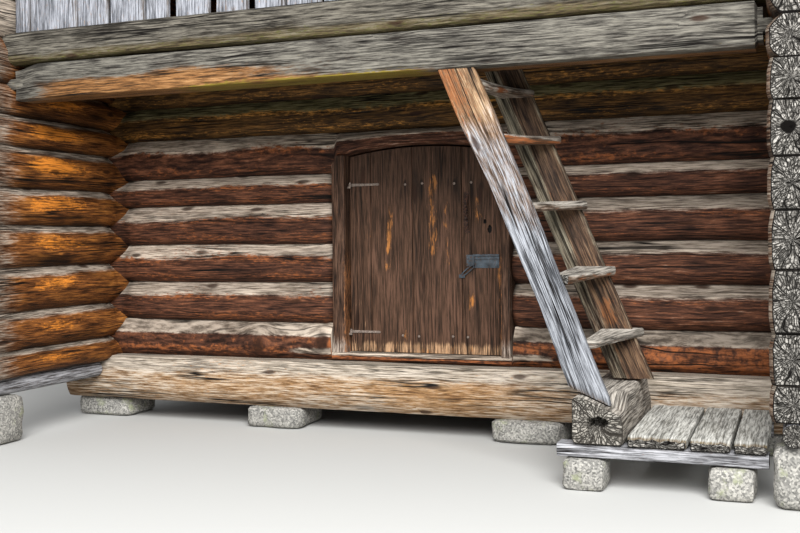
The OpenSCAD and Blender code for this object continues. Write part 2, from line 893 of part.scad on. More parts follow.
// Boards that close the roof at the verges
module verge_boards() {
    low = ridge_z - trim_w * 0.55;
    high = ridge_z + roof_rise_t + 20;
    color("darkgray")
        for (s = [0, 1], m = [0, 1])
            mirror([m, 0, 0]) mirror([0, s, 0])
                translate([roof_x + fit, 0, 0])
                    rotate([90, 0, 90])
                        linear_extrude(trim_t)
                            polygon([[fit / 2, low], [fit / 2, high],
                                [roof_y + 20, high - (roof_y + 20) * roof_rise],
                                [roof_y + 20, low - (roof_y + 20) * roof_rise]]);
}

foundation_stones();
sill_poles();
front_sill();
threshold_log();
front_wall_left();
front_wall_right();
lintel_log();
front_wall_top();
rear_wall_ground();
rear_wall_upper();
left_wall_ground();
right_wall_ground();
left_wall_upper();
right_wall_upper();
left_gable();
right_gable();
front_beam();
gallery_sill();
gallery_boards();
front_plate();
loft_joists();
loft_floor();
floor_sleepers();
ground_floor();
door_jambs();
door_leaf();
door_ledges();
door_straps();
door_pintles();
door_handle();
door_lock();
near_stringer();
far_stringer();
stair_treads();
stair_block();
platform_planks();
platform_bearers();
ridge_purlin();
side_purlins();
front_roof();
rear_roof();
ridge_boards();
verge_boards();
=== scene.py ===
import math

import bmesh
import bpy
from mathutils import Matrix, Vector, noise


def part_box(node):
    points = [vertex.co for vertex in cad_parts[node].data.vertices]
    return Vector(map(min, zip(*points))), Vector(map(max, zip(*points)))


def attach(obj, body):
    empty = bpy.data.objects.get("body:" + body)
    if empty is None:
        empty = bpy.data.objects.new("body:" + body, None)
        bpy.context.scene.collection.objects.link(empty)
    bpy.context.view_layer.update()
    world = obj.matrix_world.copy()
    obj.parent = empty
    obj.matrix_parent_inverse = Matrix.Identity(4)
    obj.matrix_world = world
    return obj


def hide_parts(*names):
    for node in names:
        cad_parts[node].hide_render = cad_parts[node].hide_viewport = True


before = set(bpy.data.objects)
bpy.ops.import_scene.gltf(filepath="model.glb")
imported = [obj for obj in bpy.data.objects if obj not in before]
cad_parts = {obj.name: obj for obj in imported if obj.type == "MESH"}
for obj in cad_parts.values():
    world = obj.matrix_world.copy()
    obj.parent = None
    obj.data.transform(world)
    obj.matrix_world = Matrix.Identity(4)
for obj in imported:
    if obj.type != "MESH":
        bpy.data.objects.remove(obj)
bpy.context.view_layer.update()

# Foundation stones
# Split granite field stones, laid dry on the ground with their flattest side up. The walls, the
# sill poles and the platform bear on them.


def linear(code):
    """sRGB hex to the linear colour that the shaders take."""
    parts = [int(code[i:i + 2], 16) / 255 for i in (1, 3, 5)]
    return tuple(c / 12.92 if c <= 0.04045 else ((c + 0.055) / 1.055) ** 2.4 for c in parts) + (1,)


def nodes_of(owner):
    """Empties the nodes of a material or a world, and gives the function that adds one."""
    owner.use_nodes = True
    tree = owner.node_tree
    tree.nodes.clear()

    def add(kind, *inputs, ramp=(), **named):
        """One node. Plain values are its first inputs, capitalised names its other inputs, and the
        rest its settings. An input is a value, a hex colour, a socket, or a node for its first output."""
        made = tree.nodes.new("ShaderNode" + kind)
        given = dict(enumerate(inputs))
        for key, value in named.items():
            if key[0].isupper():
                given[key.replace("_", " ")] = value
            else:
                setattr(made, key, value)
        for key, value in given.items():
            if isinstance(value, str):
                value = linear(value)
            if isinstance(value, bpy.types.Node):
                value = value.outputs[0]
            if isinstance(value, bpy.types.NodeSocket):
                tree.links.new(value, made.inputs[key])
            else:
                made.inputs[key].default_value = value
        stops = made.color_ramp.elements if ramp else ()
        while len(stops) < len(ramp):
            stops.new(0.5)
        for stop, (place, code) in zip(stops, ramp):
            stop.position = place
            stop.color = linear(code)
        return made

    return add


def blank(name):
    """A material with no nodes yet, and the function that adds them."""
    made = bpy.data.materials.new(name)
    return made, nodes_of(made)


def step(low, high, x):
    """Smooth rise from 0 to 1 between low and high."""
    t = min(1.0, max(0.0, (x - low) / (high - low)))
    return t * t * (3 - 2 * t)


def lump(x, y, z=0.0):
    """Soft noise from -1 to 1."""
    return noise.noise(Vector((x, y, z)))


def solids(node):
    """Lowest and highest corner of each solid in a CAD node, from the lowest up and left to right."""
    work = bmesh.new()
    work.from_mesh(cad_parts[node].data)
    bmesh.ops.remove_doubles(work, verts=work.verts, dist=1e-5)
    todo, found = set(work.verts), []
    while todo:
        island, front = [], [todo.pop()]
        while front:
            v = front.pop()
            island.append(v.co.copy())
            for e in v.link_edges:
                o = e.other_vert(v)
                if o in todo:
                    todo.remove(o)
                    front.append(o)
        found.append(tuple(Vector([pick(c[i] for c in island) for i in range(3)]) for pick in (min, max)))
    work.free()
    return sorted(found, key=lambda b: (round(b[0].z, 2), round(b[0].x, 2), b[0].y))


def new_mesh():
    """An empty bmesh with the grain map and the wear colours that the timber materials read. Their dark
    share holds dark stains and painted shade.
    """
    made = bmesh.new()
    made.loops.layers.uv.new("grain")
    made.verts.layers.float_color.new("wear")
    return made


def stand(name, data):
    """Puts a mesh, a camera or a lamp into the scene."""
    made = bpy.data.objects.new(name, data)
    bpy.context.scene.collection.objects.link(made)
    return made


def piece(name, work, materials, slot, *nodes, body="building", sharp=40):
    """Closes a bmesh into an object that rides on a body and stands for its CAD nodes."""
    bmesh.ops.recalc_face_normals(work, faces=work.faces)
    for face in work.faces:
        face.smooth = True
    mesh = bpy.data.meshes.new(name)
    work.to_mesh(mesh)
    work.free()
    mesh.set_sharp_from_angle(angle=math.radians(sharp))
    for m in materials:
        mesh.materials.append(m)
    made = stand(name, mesh)
    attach(made, body)
    if nodes:
        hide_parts(*nodes)


# Granite: grey crystals of a few millimetres, drawn at 9 mm so that they show, with lichen
granite, add = blank("lichened_granite")
place = add("TexCoord").outputs["Object"]
cloud = add("TexNoise", Vector=place, Scale=4.0, Detail=5.0, Roughness=0.6)
mica = add("SeparateColor", add("TexVoronoi", Vector=place, Scale=110.0).outputs["Color"])
mineral = add("ValToRGB", add("Math", mica, 0.55, add("Math", cloud, 0.5, operation="MULTIPLY"),
              operation="MULTIPLY_ADD"), ramp=[(0.2, "#4e4d4a"), (0.5, "#7f7d78"), (0.85, "#aeaba3")])
lichen = add("MapRange", add("TexNoise", Vector=place, Scale=7.0, Detail=6.0, Roughness=0.7), 0.55, 0.66)
spotted = add("MixRGB", lichen, mineral, "#8b8f72")
pits = add("Bump", Strength=0.8, Distance=0.012, Height=cloud)
add("OutputMaterial", add("BsdfPrincipled", Base_Color=spotted, Roughness=0.88, Normal=pits))

work = new_mesh()
for n, (low, high) in enumerate(solids("foundation_stones")):
    size, middle = high - low, (low + high) / 2
    stone = new_mesh()
    bmesh.ops.create_cube(stone, size=1)
    bmesh.ops.bevel(stone, geom=stone.edges[:], affect="EDGES", offset=0.16, segments=2, profile=0.5,
                    material=-1)
    bmesh.ops.subdivide_edges(stone, edges=stone.edges[:], cuts=2, use_grid_fill=True)
    for v in stone.verts:
        swell = 1 - 0.16 * (0.5 + 0.5 * lump(v.co.x * 2.2, v.co.y * 2.2, n * 3.1))
        side = abs(v.co.z) < 0.45
        v.co = Vector((middle.x + v.co.x * size.x * swell, middle.y + v.co.y * size.y * swell,
                       low.z + (v.co.z + 0.5) * size.z))
        if side:
            v.co.x += 0.012 * lump(v.co.y * 14, v.co.z * 14, n)
            v.co.y += 0.012 * lump(v.co.x * 14, v.co.z * 14, n + 9)
    one = bpy.data.meshes.new("stone")
    stone.to_mesh(one)
    stone.free()
    work.from_mesh(one)
    bpy.data.meshes.remove(one)
piece("field_stones", work, [granite], "field_stone", "foundation_stones", sharp=50)

# Sill poles
# Round spruce poles with the bark off, on which the side walls bed between the crossings. The
# outer ends stand open to the weather beside the platform.


def loft(work, places, outline, place, paint, seed, axes, rings=(0.91, 0.75, 0.5, 0.22), heart=(0, 0)):
    """A skin over cross sections: outline(a) gives (p, q) pairs at the length a, place puts them in
    the room, and paint gives the grey, warm and dark shares, the dark share both dark stains and
    painted shade; their alpha is 1 but at the ends, inside the rim. axes are those of the end faces,
    rings their shares of the size, heart where the pith is."""
    grain = work.loops.layers.uv["grain"]
    wear = work.verts.layers.float_color["wear"]
    shapes = [outline(a) for a in places]
    count, turns = len(places) - 1, len(shapes[0])
    made = bmesh.ops.create_grid(work, x_segments=count, y_segments=turns, size=1)["verts"]
    table = [[None] * (turns + 1) for _ in places]
    for v in made:
        table[round((v.co.x + 1) / 2 * count)][round((v.co.y + 1) / 2 * turns)] = v
    ref = shapes[len(shapes) // 2]
    arc = [0.0]
    for j in range(turns):
        (p0, q0), (p1, q1) = ref[j], ref[(j + 1) % turns]
        arc.append(arc[-1] + math.hypot(p1 - p0, q1 - q0))
    spot = {}
    for i, a in enumerate(places):
        for j in range(turns + 1):
            p, q = shapes[i][j % turns]
            v = table[i][j]
            v.co = place(a, p, q)
            v[wear] = (*paint(a, j % turns, p, q), 1)
            spot[v] = (a + seed * 3.17, arc[j] + seed * 1.31)
    for f in {f for v in made for f in v.link_faces}:
        for l in f.loops:
            l[grain].uv = spot[l.vert]
    bmesh.ops.weld_verts(work, targetmap={row[turns]: row[0] for row in table})
    for row in (table[0][:turns], table[-1][:turns]):
        edges = [work.edges.get((row[j], row[(j + 1) % turns])) for j in range(turns)]
        pith = sum((v.co for v in row), Vector()) / turns
        before, ends = 1.0, []
        for share in rings:
            out = bmesh.ops.extrude_edge_only(work, edges=edges)["geom"]
            edges = [g for g in out if isinstance(g, bmesh.types.BMEdge)]
            ends += [g for g in out if isinstance(g, bmesh.types.BMFace)]
            for v in (g for g in out if isinstance(g, bmesh.types.BMVert)):
                v.co = pith + (v.co - pith) * (share / before)
                v[wear] = (*v[wear][:3], 0)
            before = share
        cap = bmesh.ops.contextual_create(work, geom=edges)["faces"]
        ends += bmesh.ops.poke(work, faces=cap)["faces"]
        for f in ends:
            f.material_index = 1
            for l in f.loops:
                d = l.vert.co - pith
                l[grain].uv = (d[axes[0]] - heart[0], d[axes[1]] - heart[1])


def laid(axis, across=0.0, up=0.0):
    """Puts the sections of a timber that lies along x or y in the room."""
    return lambda a, p, q: Vector((a, across + p, up + q) if axis == "x" else (across + p, a, up + q))


def spread(a0, a1, pitch, fine=(), fine_pitch=0.02):
    """Places along a timber: pitch apart, and closer inside the fine ranges."""
    marks = sorted({a0, a1} | {min(a1, max(a0, m)) for r in fine for m in r})
    places = [a0]
    for m0, m1 in zip(marks, marks[1:]):
        close = any(r[0] - 1e-6 <= m0 and m1 <= r[1] + 1e-6 for r in fine)
        parts = max(1, round((m1 - m0) / (fine_pitch if close else pitch)))
        places += [m0 + (m1 - m0) * (k + 1) / parts for k in range(parts)]
    return places


def timber(name, deep, body, glow, grey_low, grey_high, stain, crack=1.0, rough=0.62, relief=1.0,
           knotty=0.3):
    """A wood with its own brown, the grey that weather gives it, and a warm stain. It reads the wear
    colours, whose dark share is both dark stains and painted shade, and the grain map."""
    made, add = blank(name)
    grain = add("UVMap", uv_map="grain")
    wear = add("SeparateColor", add("Attribute", attribute_name="wear"))
    uv = add("SeparateXYZ", grain)
    # a knot in some of the cells of 0.5 m by 0.18 m; the fibres part round each
    spots = add("VectorMath", grain, (1.9, 5.5, 1), operation="MULTIPLY")
    knots = add("TexVoronoi", Vector=spots, Scale=1.0, voronoi_dimensions="2D")
    some = add("Math", add("SeparateColor", knots.outputs["Color"]), knotty, operation="LESS_THAN")
    knot_v = add("Math", add("SeparateXYZ", knots.outputs["Position"]).outputs["Y"], 5.5, operation="DIVIDE")
    off = add("Math", uv.outputs["Y"], knot_v, operation="SUBTRACT")
    bell = add("MapRange", knots.outputs["Distance"], 0.0, 0.36, 0.6, 0.0, interpolation_type="SMOOTHSTEP")
    parted = add("Math", off, add("Math", bell, some, operation="MULTIPLY"), operation="MULTIPLY")
    swirl_at = add("VectorMath", grain, (1.1, 4.0, 1), operation="MULTIPLY")
    swirl = add("TexNoise", Vector=swirl_at, Scale=1.0, Detail=3.0, noise_dimensions="2D")
    sway = add("Math", swirl, 0.024, -0.012, operation="MULTIPLY_ADD")
    across = add("Math", add("Math", uv.outputs["Y"], parted, operation="SUBTRACT"), sway)
    flow = add("CombineXYZ", uv.outputs["X"], across)

    def streaks(along, across, detail, roughness):
        at = add("VectorMath", flow, (along, across, 1), operation="MULTIPLY")
        return add("TexNoise", Vector=at, Scale=1.0, Detail=detail, Roughness=roughness,
                   noise_dimensions="2D")

    def cracks(field, low, high, depth):
        """Lines where a field crosses its middle value."""
        off_middle = add("Math", add("Math", field, 0.5, operation="SUBTRACT"), operation="ABSOLUTE")
        return add("MapRange", off_middle, low, high, depth, 0.0)

    # fibres of 4 to 10 mm, coarser than real ones so that they show; bands of 50 mm; scaly flecks
    fine = streaks(6.0, 95, 5.0, 0.7)
    band = streaks(3.2, 20, 4.0, 0.65)
    fleck = streaks(22, 85, 3.0, 0.65)
    cloud = streaks(1.7, 5, 3.0, 0.5)
    wide = cracks(streaks(0.3, 13, 2.0, 0.5), 0.004, 0.022, 1.0)
    thin = cracks(streaks(1.5, 40, 2.0, 0.5), 0.004, 0.05, 0.8)
    here = add("MapRange", streaks(1.3, 6, 2.0, 0.5), 0.42, 0.58, 0.0, crack)
    tone = add("Math", fine, 0.55, add("Math", band, 0.27, add("Math", cloud, 0.18, operation="MULTIPLY"),
               operation="MULTIPLY_ADD"), operation="MULTIPLY_ADD")
    brown = add("ValToRGB", tone, ramp=[(0.37, deep), (0.5, body), (0.64, glow)])
    grey = add("ValToRGB", tone, ramp=[(0.38, grey_low), (0.60, grey_high)])
    ragged = add("Math", tone, 1.8, add("Math", fleck, 0.5, -1.15, operation="MULTIPLY_ADD"),
                 operation="MULTIPLY_ADD")
    grey_mask = add("MapRange", add("Math", wear.outputs[0], ragged), 0.22, 0.78,
                    interpolation_type="SMOOTHSTEP")
    # hair cracks lie close together where the weather has got in, and are few elsewhere
    open_hair = add("Math", thin, add("MapRange", grey_mask, To_Min=0.25, To_Max=1.0), operation="MULTIPLY")
    check = add("Math", add("Math", wide, open_hair, operation="MAXIMUM"), here, operation="MULTIPLY")
    bare = add("Math", fleck, 1.3, -0.65, operation="MULTIPLY_ADD")
    warm_mask = add("MapRange", add("Math", wear.outputs[1], bare), 0.35, 0.75,
                    interpolation_type="SMOOTHSTEP")
    aged = add("MixRGB", grey_mask, brown, grey)
    stained = add("MixRGB", warm_mask, aged, add("ValToRGB", tone, ramp=[(0.36, body), (0.52, stain)]))
    toned = add("MixRGB", 0.6, stained, add("ValToRGB", fine, ramp=[(0.36, "#707070"), (0.56, "#ffffff")]),
                blend_type="MULTIPLY")
    # the wear colours' dark share darkens the wood: dark stains, and painted shade over the seams and under
    # the loft
    shaded = add("MixRGB", 1.0, toned, add("MapRange", wear.outputs[2], 0.0, 1.0, 1.0, 0.12),
                 blend_type="MULTIPLY")
    core = add("MapRange", knots.outputs["Distance"], 0.05, 0.12, 0.8, 0.0, interpolation_type="SMOOTHSTEP")
    knotted = add("MixRGB", add("Math", core, some, operation="MULTIPLY"), shaded, "#2a180e")
    # the cracks are painted near black, as painted shade deep inside them
    cracks_shaded = add("MixRGB", check, knotted, "#0c0907")
    height = add("Math", fine, 0.5, add("Math", band, 0.5, add("Math", check, -0.9, operation="MULTIPLY"),
                 operation="MULTIPLY_ADD"), operation="MULTIPLY_ADD")
    add("OutputMaterial", add(
        "BsdfPrincipled", Base_Color=cracks_shaded, Roughness=add("MapRange", grey_mask, To_Min=rough, To_Max=0.9),
        Specular_IOR_Level=0.15, Normal=add("Bump", Strength=0.7 * relief, Distance=0.009, Height=height)))
    return made


def end_grain(name, light, mid_tone, dark, hollows=()):
    """Hewn log end: the splits that drying opens out from the pith, and cells of wood between them.
    hollows are the places and radii of rotten holes."""
    made, add = blank(name)
    grain = add("UVMap", uv_map="grain")
    at = add("SeparateXYZ", grain)
    object_at = add("TexCoord").outputs["Object"]
    bend = add("TexNoise", Vector=object_at, Scale=9.0, Detail=2.0)
    reach = add("VectorMath", grain, operation="LENGTH")
    r = add("Math", reach.outputs["Value"], 0.004, operation="MAXIMUM")
    wheel = add("CombineXYZ", add("Math", at.outputs["X"], r, operation="DIVIDE"),
                add("Math", at.outputs["Y"], r, operation="DIVIDE"),
                add("Math", r, 5.5, operation="MULTIPLY"))
    turned = add("VectorMath", wheel, add("VectorMath", bend.outputs["Color"], (0.5, 0.5, 0.9),
                 operation="MULTIPLY"))
    cells = add("TexVoronoi", Vector=turned, Scale=7.0, feature="DISTANCE_TO_EDGE")
    tint = add("SeparateColor", add("TexVoronoi", Vector=turned, Scale=7.0).outputs["Color"])
    wide = add("TexVoronoi", Vector=add("VectorMath", turned, (1, 1, 0.12), operation="MULTIPLY"), Scale=1.9,
               feature="DISTANCE_TO_EDGE")
    # year rings of 2 mm, drawn at 9 mm so that they show
    rings = add("Math", add("Math", r, 700.0, add("Math", bend, 9.0, operation="MULTIPLY"),
                operation="MULTIPLY_ADD"), operation="SINE")
    small = add("MapRange", cells.outputs["Distance"], 0.02, 0.16, 0.15)
    large = add("MapRange", wide.outputs["Distance"], 0.012, 0.055)
    whole = add("Math", small, large, operation="MULTIPLY")
    # the rim is painted dark, as shade where the logs' ends meet
    rim_at = add("Math", bend, 0.7, add("Attribute", attribute_name="wear").outputs["Alpha"],
                 operation="MULTIPLY_ADD")
    inside = add("MapRange", rim_at, 0.65, 1.05, 1.0, 0.0, interpolation_type="SMOOTHSTEP")
    whole = add("Math", whole, inside, operation="MULTIPLY")
    for x, y, z, radius in hollows:
        away = add("VectorMath", object_at, (x, y, z), operation="DISTANCE").outputs["Value"]
        away = add("Math", bend, radius * 1.2, away, operation="MULTIPLY_ADD")
        solid = add("MapRange", away, radius * 1.55, radius * 1.75)
        whole = add("Math", whole, solid, operation="MULTIPLY")
    wood = add("ValToRGB", add("Math", tint, 0.7, add("Math", rings, 0.10, 0.15, operation="MULTIPLY_ADD"),
               operation="MULTIPLY_ADD"), ramp=[(0.05, mid_tone), (0.9, light)])
    grit = add("TexNoise", Vector=object_at, Scale=90.0, Detail=3.0, Roughness=0.7)
    gritty = add("MixRGB", 0.8, wood, add("ValToRGB", grit, ramp=[(0.38, "#6a6866"), (0.58, "#ffffff")]),
                 blend_type="MULTIPLY")
    rise = add("Math", whole, 1.0, add("Math", tint, 0.5, operation="MULTIPLY"), operation="MULTIPLY_ADD")
    # painted shade in the splits and at the rim, and rot with painted shade in the hollows, take the dark
    # colour
    add("OutputMaterial", add(
        "BsdfPrincipled", Base_Color=add("MixRGB", whole, dark, gritty), Roughness=0.9,
        Specular_IOR_Level=0.05, Normal=add("Bump", Strength=0.9, Distance=0.010, Height=rise)))
    return made


# Bare pine that has stood in rain and sun: silver grey, with brown only where a patch is sheltered
silver_pine = timber("silver_pine", "#3a2417", "#74503a", "#ab8263", "#535254", "#b9b9bd", "#9c6643",
                     relief=0.9)
# End grain that the weather has opened: grey cells between drying splits painted black, as the shade
# in them. Two ends are rotten, their hollows painted dark for the rot and the shade in them
grey_end = end_grain("checked_end_grain", "#aba7a0", "#5b5853", "#0c0a09",
                     [(2.304, -2.43, 1.731, 0.036), (2.343, -2.43, 1.525, 0.013),
                      (2.262, -2.43, 1.735, 0.012)])


def round_pole(work, axis, low, high, seed, paint, pitch=0.10, sides=20, rough=0.05):
    """A round log that fills a box; axis is the letter of its length."""
    along, across = (0, 1) if axis == "x" else (1, 0)
    half = (high.z - low.z) / 2

    def outline(a):
        ring = []
        for j in range(sides):
            t = math.tau * j / sides
            r = half * (1 - rough * (0.5 + 0.5 * lump(a * 2.5, math.cos(t) * 1.4, math.sin(t) * 1.4 + seed)))
            ring.append((r * math.cos(t), r * math.sin(t)))
        return ring

    loft(work, spread(low[along], high[along], pitch), outline,
         laid(axis, (low[across] + high[across]) / 2, (low.z + high.z) / 2), paint, seed, (across, 2))


work = new_mesh()
for n, (low, high) in enumerate(solids("sill_poles")):
    round_pole(work, "y", low, high, n + 1.5, lambda a, j, p, q: (0.75, 0.1, 0.1))
piece("round_sill_poles", work, [silver_pine, grey_end], "weathered_log", "sill_poles")

# Log walls
# Each log is a whole pine trunk, hewn on both faces to about 220 mm and left round between. Every
# log is scribed to the one below, and all ends run past the corners, where they cross.

FINE = (0, .03, .08, .14, .21, .29, .38, .47, .54, .60, .66, .72, .78, .84, .90, .95, 1)
PLAIN = (0, .05, .15, .35, .6, .75, .9, 1)
front_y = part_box("lintel_log")[0].y
back_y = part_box("lintel_log")[1].y
log_t = back_y - front_y
room_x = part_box("loft_floor")[1].x + 0.005
ends_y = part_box("left_wall_ground")[0].y
rear_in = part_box("rear_wall_ground")[0].y
rear_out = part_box("rear_wall_ground")[1].y
jambs = solids("door_jambs")
door_x = (min(b[0].x for b in jambs), max(b[1].x for b in jambs))
threshold = jambs[0][0].z


def log_face(s, facet):
    """How far a hewn face lies in at the height share s: undercut below, dressed back above facet."""
    return 0.045 * max(0.0, 1 - s / 0.30) ** 2 + 0.060 * max(0.0, (s - facet + 0.06) / (1.06 - facet)) ** 1.3


def seam(a, number):
    """How the scribed seam under a log wanders."""
    return 0.006 * lump(a * 0.9, number * 7.7) + 0.0025 * lump(a * 4.1, number * 3.3)


def facet_line(a, seed):
    """Height share above which a face slopes back, and the rain and the sun have bleached it."""
    return 0.72 + 0.08 * lump(a * 1.3, seed * 2.1) + 0.04 * lump(a * 5, seed * 1.7)


def bed_shadow(s):
    """How dark a face is by its height share: just over the seam below, and under the next log."""
    return 0.75 * step(0.22, 0.0, s) + 0.25 * step(0.93, 1.0, s)


def necked(a, necks):
    """1 where a log is dressed down most, at one of the places, and 0 past the half width there."""
    return max([max(0.0, 1 - abs(a - p) / w) for p, w in necks] + [0.0])


def dressed(t, s):
    """How deep the dressing at a neck goes: most at the log's bed and its top."""
    return 0.05 * t ** 1.3 * (0.25 + abs(s - 0.42) * 1.5)


def hew(work, axis, places, mid, low, high, shape, paint, seed, rows=(FINE, PLAIN), thick=None):
    """One log. low and high give its bed and its top, shape how far each face lies in at a height."""
    half = (thick or log_t) / 2
    loop = [(-1, s) for s in rows[0]] + [(1, s) for s in reversed(rows[1])]

    def outline(a):
        z0, z1 = low(a), high(a)
        edge = min(a - places[0], places[-1] - a)
        ends = 0.016 * (1 - edge / 0.03) ** 2 if edge < 0.03 else 0.0
        pairs = []
        for side, s in loop:
            form = 0.5 + 0.35 * lump(a * 1.6, s * 1.5, seed + side) + 0.15 * lump(a * 6, s * 5, seed - side)
            pairs.append((side * (half - shape(a, s, side) - ends - 0.010 * form), z0 + (z1 - z0) * s))
        return pairs

    loft(work, places, outline, laid(axis, mid), lambda a, j, p, q: paint(a, loop[j][1], loop[j][0]), seed,
         (1, 2) if axis == "x" else (0, 2))


# Pine that was tarred long ago: red-brown and slightly glossy below, where the sun and the rain
# don't reach, and bleached to a beige grey on the facet that faces the sky
tarred_pine = timber("tarred_pine", "#26160f", "#4d3023", "#7d5038", "#8f7e6e", "#d3c3b1", "#985a34",
                     rough=0.7)
# The same pine high under the loft: nearly black, partly its old tar and partly painted shade from the loft,
# with green algae on its tops and ochre bare spots
tar_and_shade_pine = timber("tar_and_shade_pine", "#1c1209", "#4d361b", "#80592b", "#4f4a2a", "#8f8560", "#b9813a",
                     rough=0.6)
# Pine of the threshold and the sill, worn bare and light brown, with long drying cracks
sill_pine = timber("sill_pine", "#6a4a2f", "#9d7850", "#bd9a70", "#8f8373", "#bdb1a2", "#a97744")

# The stretch of the front logs that shows between the side walls, shaped more finely
in_view = [(-2.3, 2.3)]


def front_log(work, box, number, cool=0.0, dim=0.0, low=None, necks=(), away=1, pale=1.0, arch=False):
    """One log of the wall behind the recess, or of the rear wall with away -1; necks are where it is
    dressed down to its notch, and pale is how bright its sky side has bleached."""
    seed = number * 1.37 + box[0].x
    z0, z1 = box[0].z, box[1].z
    low = low or (lambda a: z0 + seam(a, number))

    def shape(a, s, side):
        return log_face(s, facet_line(a, seed)) + dressed(necked(a, necks) if side == -away else 0.0, s)

    def paint(a, s, side):
        # past the corners both faces stand in the weather
        crossed = step(room_x + log_t - 0.06, room_x + log_t + 0.04, abs(a))
        if side == away:
            return 0.12 + 0.75 * crossed, 0.1, 0.25 - 0.2 * crossed
        if away < 0:
            return 0.62 + 0.35 * lump(a * 0.8, s * 2, seed) + 0.3 * step(0.62, 0.8, s), 0.12, bed_shadow(s)
        line = facet_line(a, seed)
        soft = 0.08 * (cool > 0.5)
        grey = max(step(line - 0.20 + soft, line + 0.06 + soft, s), 0.8 * crossed)
        edge = math.exp(-((s - line + 0.10) / 0.10) ** 2)
        foot = math.exp(-((s - 0.14) / 0.10) ** 2)
        bare = 0.5 + 0.6 * lump(a * 1.7, seed, 3)
        warm = (0.62 * edge * bare + 0.42 * foot * (1 - bare) + 0.20 + 0.25 * lump(a * 2.2, s * 4, seed)) \
            * (1 - 0.55 * cool)
        # the band just over the seam below, and the dressed necks at the corner and the jamb, are darkened as
        # painted shade
        dark = 0.55 * step(0.17, 0.0, s) + 0.3 * max(0.0, lump(a * 2.3, s * 3, seed)) + 0.28 * dim \
            + 1.13 * (1 - pale) * grey + 0.35 * step(0.5, 1.0, necked(a, necks))
        if arch:
            over_arch = s * (z1 - low(a))
            rubbed = step(0.085, 0.045, over_arch) * step(0.66, 0.5, abs(a - 0.08))
            return max(grey, 0.18 * rubbed), warm * (1 - 0.4 * rubbed), max(0.0, dark - 0.30 * rubbed)
        return 0.95 * grey + 0.1 * cool, warm, min(1.0, dark)

    front = away > 0
    hew(work, "x", spread(box[0].x, box[1].x, 0.06, in_view if front else (), 0.02 if front else 0.06),
        (front_y + back_y) / 2 if front else (rear_in + rear_out) / 2, low,
        lambda a: z1 + seam(a, number + 1), shape, paint, seed, (FINE, PLAIN) if front else (PLAIN, FINE))


corner = 0.15
beam_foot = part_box("front_beam")[0].z
for side, node, cool, dim, pale in ((-1, "front_wall_left", 0.0, 0.0, (0.7, 1.0, 1.0, 1.0, 1.0)),
                                    (1, "front_wall_right", 0.6, 0.1, (0.55, 0.52, 0.52, 1.0, 1.0))):
    work = new_mesh()
    for k, box in enumerate(solids(node)):
        jamb = box[1].x if side < 0 else box[0].x
        front_log(work, box, k + 2, cool, dim, necks=[(-room_x, corner), (jamb, 0.07)], pale=pale[k])
    piece(node + "_logs", work, [tarred_pine, grey_end], "tarred_log", node)

# The threshold is cut down over the width of the doorway, with nearly square sides
box = solids("threshold_log")[0]
log_low = box[0].z
cut_x = (door_x[0] - 0.012, door_x[0] - 0.002, door_x[1] + 0.002, door_x[1] + 0.012)


def threshold_top(a):
    inside = step(cut_x[0], cut_x[1], a) * step(cut_x[3], cut_x[2], a)
    full = box[1].z + seam(a, 2)
    return full + (threshold - full) * inside


def threshold_shape(a, s, side):
    in_door = threshold_top(a) < threshold + 0.05
    return (0.012 * step(0.85, 1.0, s) + 0.04 * max(0.0, 1 - s / 0.35) ** 2) if in_door \
        else log_face(s, facet_line(a, 5))


def threshold_paint(a, s, side):
    if side > 0:
        return 0.1, 0.1, 0.2
    in_door = threshold_top(a) < threshold + 0.05
    z = log_low + s * (threshold_top(a) - log_low)
    lip = step(threshold - 0.026, threshold - 0.012, z) * step(threshold + 0.03, threshold + 0.004, z)
    near = step(door_x[0] - 0.40, door_x[0] - 0.20, a) * step(door_x[1] + 0.35, door_x[1] + 0.15, a)
    grey = max(lip * near, 0.0 if in_door else step(0.58, 0.72, s))
    right = step(door_x[1], door_x[1] + 0.1, a) * (1 - lip)
    left = step(door_x[0], door_x[0] - 0.1, a) * (1 - lip)
    # the band just over the seam below is darkened as painted shade
    return 0.95 * grey, (0.60 - 0.3 * left) * (1 - grey), \
        0.25 * step(0.25, 0.0, s) * (1 - lip) + grey * (0.68 * right + 0.4 * left)


places = sorted(set(spread(box[0].x, box[1].x, 0.06, in_view)) | set(cut_x))
work = new_mesh()
hew(work, "x", places, (front_y + back_y) / 2, lambda a: log_low + seam(a, 1), threshold_top,
    threshold_shape, threshold_paint, 4.2)
piece("notched_threshold_log", work, [tarred_pine, grey_end], "tarred_log", "threshold_log")

box_lintel = solids("lintel_log")[0]
arch_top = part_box("door_leaf")[1].z + 0.012
spring = jambs[0][1].z
half_arch = (door_x[1] - door_x[0]) / 2 - 0.08
arch_mid = (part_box("door_leaf")[0].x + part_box("door_leaf")[1].x) / 2
rise = arch_top - spring
arch_r = (half_arch ** 2 + rise ** 2) / (2 * rise)


def lintel_bottom(a):
    plain = box_lintel[0].z + seam(a, 6)
    d = abs(a - arch_mid)
    if d > door_x[1] - arch_mid:
        return plain
    arch = arch_top - arch_r + math.sqrt(max(0.0, arch_r ** 2 - d * d)) if d < arch_r else plain
    return max(plain, arch)


work = new_mesh()
front_log(work, box_lintel, 6, cool=0.2, low=lintel_bottom, necks=[(-room_x, corner)], arch=True)
piece("arched_lintel_log", work, [tarred_pine, grey_end], "tarred_log", "lintel_log")

work = new_mesh()
for k, box in enumerate(solids("front_wall_top")):
    front_log(work, box, 7 + k, cool=0.2, necks=[(-room_x, corner)])
piece("top_front_logs", work, [tar_and_shade_pine, grey_end], "tarred_log", "front_wall_top")

# The sill is the thickest log, and it stands out past the wall so that rain drips clear of it
box_sill = solids("front_sill")[0]
sill_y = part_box("front_sill")[0].y


